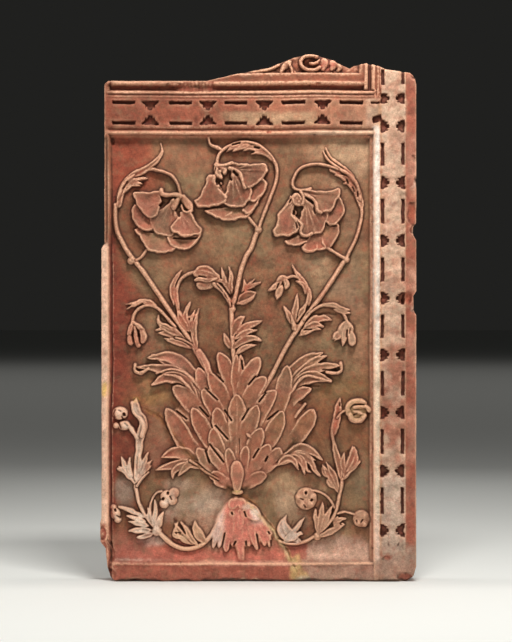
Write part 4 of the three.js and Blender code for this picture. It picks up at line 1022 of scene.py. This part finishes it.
# Front sheet: points spread over the outline, drawn in a little where the arris is worn or broken
u, v = np.meshgrid(np.linspace(0, 1, ACROSS), np.linspace(0, 1, UP))
front_x, front_z = WIDEST_LEFT * (1 - u) + WIDEST_RIGHT * u, v
for _ in range(SETTLING_ROUNDS):
    front_z = profile(front_x, *FOOT_EDGE) * (1 - v) + profile(front_x, *TOP_EDGE) * v
    front_x = profile(front_z, *LEFT_EDGE) * (1 - u) + profile(front_z, *RIGHT_EDGE) * u
front_lumps, front_small = sample(lumps, front_x, front_z), sample(small_lumps, front_x, front_z)
foot = profile(front_x, *FOOT_EDGE)
to_side = np.minimum(front_x - profile(front_z, *LEFT_EDGE), profile(front_z, *RIGHT_EDGE) - front_x)
to_end = np.minimum(front_z - foot, profile(front_x, *TOP_EDGE) - front_z)
to_border = np.clip(np.minimum(to_side, to_end), 0, None)
broken = smooth((front_z - 1205) / 20) + smooth((150 - front_z) / 40) * smooth((-300 - front_x) / 40)
arris = 2.2 + 1.6 * front_lumps + 1.2 * front_small + 3.5 * broken + 2.0 * smooth((24 - front_z) / 14)
arris = np.clip(arris, SMALLEST_ARRIS, LARGEST_ARRIS)
drop = arris * (1.0 - np.sqrt(np.clip(1.0 - (1.0 - np.clip(to_border / arris, 0, 1)) ** 2, 0, 1)))
lift = np.clip(7.0 + 1.6 * front_lumps + 1.0 * front_small, 3.5, 11)
under = 1.0 - np.clip((front_z - foot) / lift, 0, 1)
drop = np.maximum(drop, FOOT_UNDERCUT * (1.0 - np.sqrt(1.0 - 0.96 * under**2)))
front_h = sample(relief, front_x, front_z) - drop

# Walls, going back from the border of the front sheet
ring_x, ring_z, ring_h = ring_of(front_x), ring_of(front_z), ring_of(front_h)
RING = len(ring_x)
WALLS = len(WALL_DEPTHS)
REACH_ALONG = 12  # points either side from which the wall's direction is taken
step_x = np.roll(ring_x, -REACH_ALONG) - np.roll(ring_x, REACH_ALONG)
step_z = np.roll(ring_z, -REACH_ALONG) - np.roll(ring_z, REACH_ALONG)
length = np.hypot(step_x, step_z)
shares = WALL_DEPTHS[:, None] / FRONT
bulge = np.sin(math.pi * shares) ** 0.6
inward = bulge * np.clip(1.3 + 0.9 * ring_noise(WALLS, 28, 1.2) + 0.5 * ring_noise(WALLS, 6, 0.8), 0, 5)
wall_h = ring_h * (1.0 - shares)
wall_x = ring_x - step_z / length * inward
wall_z = ring_z + step_x / length * inward

# Back sheet, coarser, with the marks of the pick
back_x, back_z = front_x[::BACK_STRIDE, ::BACK_STRIDE], front_z[::BACK_STRIDE, ::BACK_STRIDE]
back_h = 0.9 + 0.8 * sample(lumps, back_x, back_z) + 0.6 * sample(small_lumps, back_x, back_z)
back_h = np.clip(back_h, 0, 3.0)
back_h[0], back_h[-1], back_h[:, 0], back_h[:, -1] = 0, 0, 0, 0

# The faces: front, walls ring by ring, a strip from the last ring to the coarse back, the back
wall_start = ACROSS * UP
front_index = np.arange(wall_start).reshape(UP, ACROSS)
back_index = wall_start + WALLS * RING + np.arange(back_x.size).reshape(back_x.shape)
rings = [ring_of(front_index)] + [wall_start + i * RING + np.arange(RING) for i in range(WALLS)]
faces = [quads(front_index[:-1, :-1], front_index[:-1, 1:], front_index[1:, 1:], front_index[1:, :-1])]
for upper, lower in zip(rings[:-1], rings[1:]):
    faces.append(quads(upper, lower, np.roll(lower, -1), np.roll(upper, -1)))
last, back_ring = rings[-1], ring_of(back_index)
middle = np.roll(np.repeat(back_ring, BACK_STRIDE), -(BACK_STRIDE // 2))
turns = (np.arange(len(back_ring)) * BACK_STRIDE + BACK_STRIDE // 2) % RING
faces.append(np.stack([last, middle, np.roll(last, -1)], 1))
faces.append(np.stack([last[turns], back_ring, np.roll(back_ring, -1)], 1))
faces.append(quads(back_index[1:, :-1], back_index[1:, 1:], back_index[:-1, 1:], back_index[:-1, :-1]))
faces = np.concatenate(faces)

# ---- Colour of the stone, zone by zone -----------------------------------------------------------
def colour(red, green, blue):
    """Screen colour, 0 to 255, as linear light."""
    value = np.array([red, green, blue]) / 255.0
    return np.where(value <= 0.04045, value / 12.92, ((value + 0.055) / 1.055) ** 2.4)


clouds = grain(45.0)
blotches = grain(20.0)
mottle = grain(8.0)
paint = np.empty((ROWS, COLUMNS, 3))
paint[:] = colour(163, 101, 76)  # plain stone


def wash(mask, tone, strength=1.0):
    """Lays a colour over the stone where a mask says so."""
    cover = np.clip(mask * strength, 0, 1)[:, :, None]
    paint[:] = paint * (1 - cover) + colour(*tone) * cover


def oval(x, z, wide, high):
    """Distance from a place, 1 at the edge of an oval round it."""
    return np.hypot((X - x) / wide, (Z - z) / high)


def patch(x, z, wide, high, tone, strength=0.8, soft=0.5):
    """An oval of colour with a ragged edge, on whatever lies there."""
    away = oval(x, z, wide, high) + 0.16 * blotches + 0.10 * mottle
    wash(smooth((1 - away) / soft), tone, strength)


def spots(on, strength, reach, soft, stray, *rows):
    """Soft clouds of colour on one part of the stone: x, z, half width, half height, colour."""
    for x, z, wide, high, tone in rows:
        away = oval(x, z, wide, high) + stray * blotches
        wash(smooth((reach - away) / soft) * on, tone, strength)


def past(value, limit, soft):
    """0 before a limit, rising to 1 after it."""
    return smooth((value - limit) / soft)


def short_of(value, limit, soft):
    """1 well before a limit, falling to 0 at it."""
    return smooth((limit - value) / soft)


def between(value, low, high, soft):
    """1 from low to high, with soft ends."""
    return smooth((value - low) / soft + 0.5) * smooth((high - value) / soft + 0.5)


in_field = between(X, FIELD_LEFT, FIELD_RIGHT + 4, 4) * between(Z, 44, FIELD_TOP + 4, 4)
raised = smooth((relief - FIELD - 5) / 5) * in_field
sunk = in_field * (1 - raised)
stray = 10 * blotches + 5 * mottle

# The sunk ground: brown and olive patina in clouds, redder to the left and towards the foot
wash(sunk, (138, 94, 67))
wash(sunk * smooth(clouds * 0.5 + 0.5), (150, 110, 80), 0.75)
wash(sunk * smooth(-clouds * 0.6 + 0.3), (118, 76, 51), 0.75)
wash(sunk * smooth(blotches * 0.7), (136, 117, 86), 0.5)
wash(sunk * smooth(-blotches * 0.7), (128, 78, 55), 0.45)
wash(sunk * short_of(X, -262 + 30 * clouds, 60) * past(Z, 120, 60), (124, 52, 38), 0.85)
wash(sunk * short_of(X, -225, 60) * past(Z, 900, 80), (150, 74, 52), 0.9)
spots(
    sunk, 0.8, 1.1, 0.9, 0.22,
    (-170, 1010, 70, 60, (144, 100, 73)), (-110, 900, 50, 60, (112, 84, 58)),
    (205, 1030, 90, 90, (190, 156, 124)), (120, 880, 60, 60, (146, 96, 72)),
    (60, 1020, 60, 36, (124, 92, 66)), (130, 740, 60, 70, (157, 128, 98)),
    (225, 720, 40, 120, (147, 117, 92)), (10, 900, 60, 50, (152, 106, 80)),
    (40, 800, 60, 60, (156, 104, 78)), (-20, 770, 60, 30, (118, 74, 52)),
    (-150, 760, 60, 60, (124, 87, 62)), (-110, 700, 60, 60, (122, 86, 58)),
    (-170, 800, 50, 50, (128, 88, 62)), (-130, 640, 60, 60, (140, 100, 70)),
    (-110, 560, 40, 60, (124, 78, 52)), (20, 640, 60, 90, (128, 76, 54)), (60, 700, 60, 60, (124, 84, 56)),
    (160, 560, 80, 60, (124, 100, 72)), (240, 590, 40, 90, (152, 112, 84)),
    (110, 600, 60, 40, (126, 78, 56)), (190, 470, 80, 70, (140, 106, 70)),
    (150, 360, 60, 80, (130, 84, 56)), (225, 340, 50, 90, (134, 92, 62)),
    (240, 230, 40, 70, (140, 118, 90)), (-250, 470, 80, 60, (146, 108, 72)),
    (-240, 360, 60, 70, (152, 106, 80)), (-270, 300, 60, 50, (146, 92, 72)),
    (-250, 600, 60, 50, (140, 92, 72)), (-200, 700, 60, 50, (130, 92, 66)),
    (100, 960, 70, 40, (140, 104, 76)), (-262, 730, 40, 60, (142, 108, 78)),
    (215, 850, 30, 70, (140, 106, 80)), (-60, 980, 60, 30, (118, 80, 56)))
spots(
    sunk, 0.85, 1.1, 0.7, 0.2,
    (-330, 215, 34, 46, (150, 126, 110)), (-150, 185, 90, 50, (192, 164, 142)),
    (-190, 230, 60, 30, (178, 146, 122)), (60, 190, 50, 60, (184, 152, 122)),
    (-20, 225, 40, 20, (150, 118, 88)), (160, 230, 50, 50, (152, 118, 88)),
    (30, 240, 90, 30, (166, 132, 100)), (-110, 120, 30, 60, (170, 132, 108)),
    (90, 150, 30, 30, (140, 108, 84)), (200, 90, 60, 26, (166, 132, 114)),
    (130, 76, 60, 14, (158, 104, 86)), (-160, 120, 40, 24, (176, 124, 98)))
pink = short_of(Z - stray, 105, 40)
wash(pink * short_of(X, 110, 80) * in_field, (202, 112, 94), 0.9)
patch(-262, 94, 46, 16, (214, 184, 166), 0.7)
patch(-150, 142, 44, 34, (204, 158, 130), 0.6)
wash(pink * past(X, 60, 80) * in_field, (214, 172, 150), 0.85)
wash(short_of(Z - stray, 150, 60) * short_of(X, -230, 60) * sunk, (158, 92, 76), 0.8)

# The raised carving
CREAM = (238, 212, 190)
wash(raised, (161, 106, 82))
wash(raised * smooth(blotches * 0.6), (132, 102, 76), 0.6)
wash(raised * smooth(-blotches * 0.6), (176, 88, 66), 0.6)
wash(raised * short_of(Z, 250, 60) * short_of(X, -190, 40), CREAM, 0.85)
wash(raised * short_of(Z, 450, 40) * short_of(X, -270, 20), CREAM, 0.85)
wash(raised * short_of(Z, 190, 40) * between(X, -240, -110, 30), (226, 184, 148), 0.8)
wash(raised * short_of(Z, 260, 40) * past(X, 60, 40), (184, 142, 114), 0.7)
wash(raised * between(X, -110, 50, 30) * short_of(Z, 205, 20), (216, 128, 110), 0.85)
wash(raised * between(X, -125, -88, 14) * between(Z, 70, 190, 20), (226, 194, 178), 0.85)
wash(raised * between(X, -20, 20, 16) * between(Z, 140, 190, 20), (236, 206, 190), 0.8)
spots(
    raised, 0.75, 1.15, 0.7, 0.2,
    (-280, 900, 34, 40, (150, 96, 76)), (-235, 870, 24, 40, (128, 98, 76)),
    (-190, 855, 34, 30, (168, 106, 86)), (-125, 940, 26, 40, (150, 84, 62)),
    (-60, 935, 32, 44, (116, 80, 56)), (-10, 980, 36, 26, (144, 100, 76)), (60, 870, 30, 44, (172, 98, 78)),
    (120, 870, 34, 40, (146, 98, 74)), (160, 920, 34, 26, (158, 118, 90)),
    (-60, 400, 120, 110, (150, 98, 72)), (70, 380, 60, 80, (140, 100, 70)),
    (-150, 380, 60, 70, (148, 86, 64)), (-200, 520, 80, 50, (186, 124, 102)),
    (130, 520, 70, 40, (168, 128, 98)), (-55, 255, 40, 40, (182, 118, 94)),
    (215, 600, 34, 60, (178, 146, 118)), (165, 660, 60, 20, (170, 134, 106)),
    (235, 412, 34, 34, (186, 154, 108)))
spots(raised, 0.6, 1.15, 0.3, 0.0, (-75, 965, 85, 75, (108, 68, 50)))
spots(raised, 0.45, 1.15, 0.3, 0.0, (128, 885, 80, 75, (122, 78, 60)))

# The frame: the top band from left to right, the mouldings above it, the cove
border = 1 - in_field
wash(border * smooth(blotches * 0.6), (171, 108, 84), 0.5)
wash(border * smooth(-mottle * 0.5 - 0.1), (148, 88, 64), 0.4)
wash(border * between(Z, 1084, 1162, 6) * short_of(X - stray, 30, 120), (126, 64, 45), 0.75)
wash(border * past(X + stray, 20, 220) * past(Z, 1060, 10), (164, 118, 92), 0.75)
wash(border * past(Z, 1157, 8), (120, 66, 46), 0.8)
wash(border * past(Z, 1157, 8) * past(X, -60, 160), (152, 92, 68), 0.7)
pale_band = between(Z, 1097, 1128, 8) * between(X, -90, 290, 60)
wash(border * pale_band * smooth(clouds + 0.6), (186, 152, 118), 0.7)
wash(border * between(Z, 1095, 1160, 8) * between(X, 255, 300, 10), (196, 166, 140), 0.6)
wash(border * past(Z, STUMP_Z, 4) * short_of(X, 60, 30), (134, 92, 62), 0.7)
patch(160, 1248, 26, 22, (186, 96, 80))
cove = between(Z, 1179, 1193, 3) * short_of(X, 256, 3)
wash(np.maximum(cove, between(X, 256, 266, 2) * past(Z, 1179, 3)), (128, 64, 46), 0.85)

# The side chain, the outer edge, the fillets and the foot
chain = between(X, 291, 348, 3) * past(Z, 60, 20)
wash(between(X, 283, 292, 2) * short_of(Z, 1160, 8) * past(Z, 60, 20), (186, 138, 104), 0.8)
wash(chain, (206, 172, 146), 0.9)
wash(chain * smooth(mottle * 0.8), (176, 118, 94), 0.5)
wash(chain * smooth(fine * 0.5 - 0.2), (214, 186, 166), 0.5)
wash(chain * between(Z, 275, 575, 50) * smooth(0.75 + 0.4 * mottle), (158, 100, 78), 0.9)
wash(chain * short_of(Z, 275, 30), (190, 166, 148), 0.7)
wash(smooth(cut / 6.0), (122, 56, 40), 0.9)
outer = past(X, 349, 3) * short_of(Z, 1225, 10)
wash(outer, (156, 88, 68), 1.0)
wash(outer * smooth(blotches * 0.8), (182, 130, 108), 0.6)
wash(past(X, 370, 3) * smooth(blotches * 0.4 + 0.5), (214, 170, 146), 0.6)
fillet = between(X, 271, 286, 2.0) * between(Z, 24, 1092, 10)
wash(fillet, (232, 210, 184), 0.9)
wash(fillet * past(Z, 480, 160), (238, 228, 216), 0.9)
wash(fillet * short_of(Z, 200, 100), (228, 190, 172), 0.7)
wash(between(X, 262, 271, 2) * in_field, (176, 130, 104), 0.6)
top_fillet = between(Z, 1074, 1083, 2.0) * between(X, -380, 275, 10)
wash(top_fillet, (196, 140, 112), 0.7)
wash(top_fillet * past(X, 40, 120), (226, 196, 168), 0.85)
wash(short_of(Z - stray, 118, 40) * past(X, 284, 10), (164, 138, 120), 0.85)
wash(short_of(Z, 52, 3) * short_of(X, 110, 30), (166, 92, 74), 0.9)
# The pale line on the upward slope of the foot ledge: wear and a painted highlight
wash(between(Z, 43, 50, 2) * short_of(X, 110, 30) * smooth(clouds + mottle), (226, 170, 142), 0.7)
wash(short_of(Z, 52, 3) * past(X, 80, 40), (176, 140, 120), 0.85)
wash(short_of(Z, 44, 4) * smooth(blotches * 0.8), (138, 82, 64), 0.4)
wash(between(X, 62, 112, 3) * between(Z, 52, 94, 3), (176, 92, 76), 0.8)
patch(303, 58, 14, 9, (182, 96, 74))
patch(348, 10, 24, 12, (180, 96, 76))

# The left margin
margin = short_of(X, -361, 2.5) * short_of(Z, 1070, 8)
wash(margin * past(Z, 812, 8), (140, 92, 66), 1.0)
wash(margin * between(X, -371, -366, 2) * past(Z, 812, 8), (84, 46, 30), 0.8)
wash(margin * between(Z, 140, 812, 12), (231, 190, 164), 0.92)
wash(margin * short_of(Z, 140, 12), (166, 88, 70), 0.9)
wash(between(X, -366, -350, 4) * between(Z, 120, 830, 20), (128, 50, 36), 0.85)

# Fresh breaks are redder, worn ones paler, and the mend is ochre
for oval_of_break in ((365, 882, 12, 22), (352, 681, 18, 20), (20, 1079, 7, 4)):
    patch(*oval_of_break, (170, 88, 64))
for oval_of_break in ((372, 842, 8, 14), (368, 654, 10, 8), (371, 958, 6, 20)):
    patch(*oval_of_break, (232, 190, 166))
mend_x = np.interp(Z, [z for x, z in reversed(MEND)], [x for x, z in reversed(MEND)])
upper_end = short_of(Z, 430, 30)
wash(short_of(mend, 8.0, 4.0) * upper_end * smooth(0.9 + 0.5 * mottle), (146, 92, 48), 0.85)
wash(short_of(mend, 2.0, 1.5) * upper_end, (96, 56, 30), 0.7)
beside_mend = short_of(mend, 9.0, 3.0) * short_of(X - 1, mend_x, 2) * short_of(Z, 200, 20)
wash(beside_mend * smooth(1.1 + 0.5 * mottle), (232, 200, 150), 0.85)
wash(short_of(mend, 9.0, 4.0) * short_of(Z, 62, 10) * smooth(0.9 + 0.5 * mottle), (186, 148, 96), 0.9)
patch(-56, 214, 17, 8, (230, 200, 132), 1.0)
patch(-130, 738, 70, 60, (102, 66, 44), 0.45)
patch(-374, 464, 12, 16, (226, 186, 110), 0.9)
patch(-300, 436, 10, 8, (220, 180, 100), 0.8)
patch(86, 38, 15, 28, (206, 172, 116), 0.85, 0.3)
patch(94, 14, 20, 14, (198, 160, 106), 0.8, 0.4)
patch(102, 7, 17, 7, (214, 196, 168), 0.8)
spots(raised, 0.75, 1.1, 0.2, 0.0, (75, 124, 38, 36, (226, 202, 184)))
patch(-260, 440, 60, 20, (160, 116, 66), 0.35)

# Painted shadow along the ground line, pale wear with a painted highlight on the foot, pale rubbing on the
# root clump, a darker middle of the field
# A painted contact shadow: the lowest few millimetres of the face darkened
wash(short_of(Z, 7.0 + 1.6 * lumps + 1.0 * small_lumps, 3.0), (52, 40, 36), 0.9)
# Pale band on the foot ledge: wear and a painted highlight
rubbing_and_highlight = short_of(abs(Z - 42), 6.5, 3) * short_of(abs(X + 40), 150, 60)
wash(rubbing_and_highlight * smooth(1.1 - mottle * 0.5 - 0.6 * (abs(X + 45) < 16)), (230, 162, 140), 0.55)
patch(-33, 180, 13, 10, CREAM, 0.75, 0.4)
patch(-14, 166, 16, 12, (240, 216, 198), 0.8, 0.4)
spots(sunk, 0.3, 1.2, 0.5, 0.0, (-30, 640, 170, 190, (104, 70, 46)))

# ---- One closed mesh ----------------------------------------------------------------------------
HALF_HEIGHT = CREST / 2
MOST_TRIANGLES = 196000
# A little wear and painted highlight on the walls and the back
SIDE_WEAR_AND_HIGHLIGHT, BACK_WEAR_AND_HIGHLIGHT = 0.15, 0.1
SIDE_COLOUR, BACK_COLOUR = colour(150, 92, 70), colour(146, 100, 78)


def whole(front, wall, back):
    """One value for each vertex of the mesh, in front, round the walls and at the back."""
    tail = front.shape[2:]
    wall = np.broadcast_to(wall, (WALLS, RING) + tail)
    back = np.broadcast_to(back, back_x.shape + tail)
    return np.concatenate([part.reshape((-1,) + tail) for part in (front, wall, back)])


points = [whole(front_x, wall_x, back_x), -whole(front_h, wall_h, back_h), whole(front_z, wall_z, back_z)]
points = (np.stack(points, 1) - (0.0, 0.0, HALF_HEIGHT)) * MM
side_tone = SIDE_COLOUR * (1.0 + 0.12 * ring_noise(WALLS, 40, 1.5)[:, :, None])
back_tone = BACK_COLOUR * (1.0 + 0.08 * sample(blotches, back_x, back_z)[:, :, None])
front_tone = np.stack([sample(paint[:, :, i], front_x, front_z) for i in range(3)], 2)
blend_in = smooth(np.linspace(0, 1, WALLS) * 3)[:, None, None]
side_tone = ring_of(front_tone) * (1 - blend_in) + side_tone * blend_in
tone = whole(front_tone, side_tone, back_tone)
# Darkening in the hollows: dirt and painted shade
dirt_and_shade = whole(sample(hollow, front_x, front_z), 0.0, 0.0)
# Paling of ridges and of the broken outline: wear and painted highlights
edge_light = np.clip(sample(proud, front_x, front_z) + 0.6 * smooth(1 - to_border / 4), 0, 1)
rubbed_and_highlight = whole(edge_light, SIDE_WEAR_AND_HIGHLIGHT, BACK_WEAR_AND_HIGHLIGHT)


def add_object(name, data):
    """Puts a new object in the scene."""
    made = bpy.data.objects.new(name, data)
    bpy.context.scene.collection.objects.link(made)
    return made


mesh = bpy.data.meshes.new("dense_panel")
mesh.vertices.add(len(points))
mesh.vertices.foreach_set("co", points.astype(np.float32).ravel())
mesh.loops.add(faces.size)
mesh.loops.foreach_set("vertex_index", faces.astype(np.int32).ravel())
mesh.polygons.add(len(faces))
mesh.polygons.foreach_set("loop_start", np.arange(0, faces.size, 3, dtype=np.int32))
mesh.update()
shade = mesh.attributes.new("tone", "FLOAT_COLOR", "POINT")
shade.data.foreach_set("color", np.column_stack([tone, np.ones(len(tone))]).astype(np.float32).ravel())
for name, values in (("dirt_and_shade", dirt_and_shade), ("rubbed_and_highlight", rubbed_and_highlight)):
    layer = mesh.attributes.new(name, "FLOAT", "POINT")
    layer.data.foreach_set("value", values.astype(np.float32))
dense = add_object("dense_panel", mesh)
thin = dense.modifiers.new("thin", "DECIMATE")
thin.ratio = MOST_TRIANGLES / len(faces)
thin.use_collapse_triangulate = True
thinned = bpy.data.meshes.new_from_object(dense.evaluated_get(bpy.context.evaluated_depsgraph_get()))
bpy.data.objects.remove(dense)
bpy.data.meshes.remove(mesh)
thinned.name = "carved_panel"
corners = np.empty(len(thinned.vertices) * 3, np.float32)
thinned.vertices.foreach_get("co", corners)
corners = np.clip(corners.reshape(-1, 3), size_at_start[0], size_at_start[1])
thinned.vertices.foreach_set("co", corners.astype(np.float32).ravel())
thinned.polygons.foreach_set("use_smooth", np.ones(len(thinned.polygons), bool))
thinned.update()
panel = add_object("carved_panel", thinned)

# ---- Finish -------------------------------------------------------------------------------------
stone = bpy.data.materials.new("sandstone")
stone.use_nodes = True
tree = stone.node_tree
tree.nodes.clear()


def node(kind, inputs=None, **settings):
    """A shader node; its inputs are numbers, colours or the outputs of other nodes."""
    made = tree.nodes.new(kind)
    for key, value in settings.items():
        setattr(made, key, value)
    for key, value in (inputs or {}).items():
        if isinstance(value, (float, tuple)):
            made.inputs[key].default_value = value
        else:
            tree.links.new(value, made.inputs[key])
    return made


place = node("ShaderNodeTexCoord").outputs["Object"]


def noise(scale, detail=3.0, rough=0.6):
    """Noise fixed to the stone, 0 to 1."""
    inputs = {"Vector": place, "Scale": scale, "Detail": detail, "Roughness": rough}
    return node("ShaderNodeTexNoise", inputs).outputs["Fac"]


def ranged(source, low, high, to_low, to_high):
    """Stretches a value from one range to another."""
    inputs = {"Value": source, "From Min": low, "From Max": high, "To Min": to_low, "To Max": to_high}
    return node("ShaderNodeMapRange", inputs).outputs["Result"]


def mixed(factor, first, second, blend="MIX"):
    """One colour over another."""
    inputs = {"Factor": factor, "A": first, "B": second}
    return node("ShaderNodeMix", inputs, data_type="RGBA", blend_type=blend).outputs["Result"]


def sums(operation, first, second):
    """Arithmetic on two values."""
    return node("ShaderNodeMath", {0: first, 1: second}, operation=operation).outputs["Value"]


def solid(red, green, blue):
    """A colour for a socket."""
    return (*(float(v) for v in colour(red, green, blue)), 1.0)


base = node("ShaderNodeAttribute", attribute_name="tone").outputs["Color"]
dirt_and_shade_in = node("ShaderNodeAttribute", attribute_name="dirt_and_shade").outputs["Fac"]
rubbed_and_highlight_in = node("ShaderNodeAttribute", attribute_name="rubbed_and_highlight").outputs["Fac"]
cloud = ranged(noise(38.0), 0.35, 0.65, 0.76, 1.20)
speck = ranged(noise(420.0, 2.0), 0.3, 0.7, 0.80, 1.20)
fleck = ranged(noise(150.0, 3.0, 0.7), 0.3, 0.7, 0.80, 1.20)
lightness = sums("MULTIPLY", sums("MULTIPLY", cloud, fleck), speck)
finish = mixed(1.0, base, lightness, "MULTIPLY")
red_stain = sums("MULTIPLY", ranged(noise(85.0), 0.5, 0.68, 0.0, 1.0), 0.30)
finish = mixed(red_stain, finish, solid(172, 80, 58))
olive_stain = sums("MULTIPLY", ranged(noise(54.0), 0.5, 0.68, 0.0, 1.0), 0.30)
finish = mixed(olive_stain, finish, solid(128, 110, 82))
patchy_rubbed_and_highlight = sums("MULTIPLY", rubbed_and_highlight_in, ranged(noise(210.0, 2.0), 0.36, 0.62, 0.5, 1.1))
# Painted highlight and wear: ridges and edges mixed toward pale cream
finish = mixed(sums("MULTIPLY", patchy_rubbed_and_highlight, 0.80), finish, solid(244, 190, 156))
# Painted shade and dirt: hollows mixed toward dark brown
finish = mixed(sums("MULTIPLY", sums("MINIMUM", dirt_and_shade_in, 1.0), 0.80), finish, solid(62, 28, 18))
grit = sums("ADD", noise(300.0, 4.0, 0.7), sums("MULTIPLY", noise(90.0, 2.0), 0.8))
bump = node("ShaderNodeBump", {"Height": grit, "Strength": 0.7, "Distance": 0.0018}).outputs["Normal"]
shader = node("ShaderNodeBsdfPrincipled",
              {"Base Color": finish, "Normal": bump, "Roughness": 0.72, "Specular IOR Level": 0.30})
node("ShaderNodeOutputMaterial", {"Surface": shader.outputs["BSDF"]})
thinned.materials.clear()
thinned.materials.append(stone)

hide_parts("relief_panel")
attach(panel, "root")

# ---- Floor, lights, camera ----------------------------------------------------------------------
FOOT = -HALF_HEIGHT * MM
FLOOR_REACH, FLOOR_FRONT = 150.0, -20.0
floor_mesh = bpy.data.meshes.new("floor")
floor_corners = [(-FLOOR_REACH, FLOOR_FRONT, FOOT), (FLOOR_REACH, FLOOR_FRONT, FOOT),
                 (FLOOR_REACH, FLOOR_REACH, FOOT), (-FLOOR_REACH, FLOOR_REACH, FOOT)]
floor_mesh.from_pydata(floor_corners, [], [(0, 1, 2, 3)])
floor = add_object("floor", floor_mesh)
pale_floor = bpy.data.materials.new("floor")
pale_floor.use_nodes = True
floor_inputs = pale_floor.node_tree.nodes["Principled BSDF"].inputs
floor_inputs["Base Color"].default_value = (0.79, 0.81, 0.79, 1.0)
floor_inputs["Roughness"].default_value = 0.9
floor_inputs["Specular IOR Level"].default_value = 0.1
floor_mesh.materials.append(pale_floor)

scene = bpy.context.scene
scene.world = bpy.data.worlds.new("studio")
scene.world.use_nodes = True
background = scene.world.node_tree.nodes["Background"].inputs
background["Color"].default_value = (0.0145, 0.0145, 0.0135, 1.0)
background["Strength"].default_value = 1.0


def area(name, place, target, power, width, height):
    """A soft lamp turned towards a point."""
    lamp = bpy.data.lights.new(name, "AREA")
    lamp.energy = power
    lamp.color = (1.0, 0.97, 0.93)
    lamp.shape = "RECTANGLE"
    lamp.size = width
    lamp.size_y = height
    made = add_object(name, lamp)
    made.location = place
    made.rotation_mode = "QUATERNION"
    made.rotation_quaternion = (Vector(target) - Vector(place)).to_track_quat("-Z", "Y")


area("key", (0.3, -1.5, 2.2), (0.0, 0.0, -0.1), 70, 0.8, 0.45)
area("front_fill", (-0.9, -3.6, 0.7), (0.0, 0.0, 0.0), 26, 2.2, 2.2)
area("right_rim", (2.2, -0.5, 0.9), (0.3, 0.0, 0.0), 12, 1.0, 1.4)
area("left_rim", (-2.2, -0.6, 0.7), (-0.3, 0.0, 0.0), 9, 1.0, 1.4)
area("back_fill", (0.4, 3.2, 1.6), (0.0, 0.0, 0.0), 10, 2.0, 2.0)
area("floor_wash", (0.0, 0.14, 3.2), (0.0, 0.0, -0.6), 40, 3.0, 0.3)
area("far_floor", (0.0, 16.0, 7.0), (0.0, 16.0, 0.0), 260, 26.0, 20.0)

DISTANCE = 5.5
SENSOR = 36.0
VIEW_HEIGHT = 1.5408  # how much of the panel's plane the picture takes in, top to bottom
camera_data = bpy.data.cameras.new("camera")
camera = add_object("camera", camera_data)
camera.location = (-0.0108, -DISTANCE - FRONT * MM, -0.008)
camera.rotation_mode = "XYZ"
camera.rotation_euler = (math.pi / 2, 0.0, 0.0)
camera_data.sensor_width = SENSOR
camera_data.lens = SENSOR * DISTANCE / VIEW_HEIGHT
camera_data.clip_start = 0.1
camera_data.clip_end = 400.0
scene.camera = camera
scene.view_settings.view_transform = "Standard"
scene.view_settings.look = "None"
scene.view_settings.exposure = 0.0
scene.view_settings.gamma = 1.0
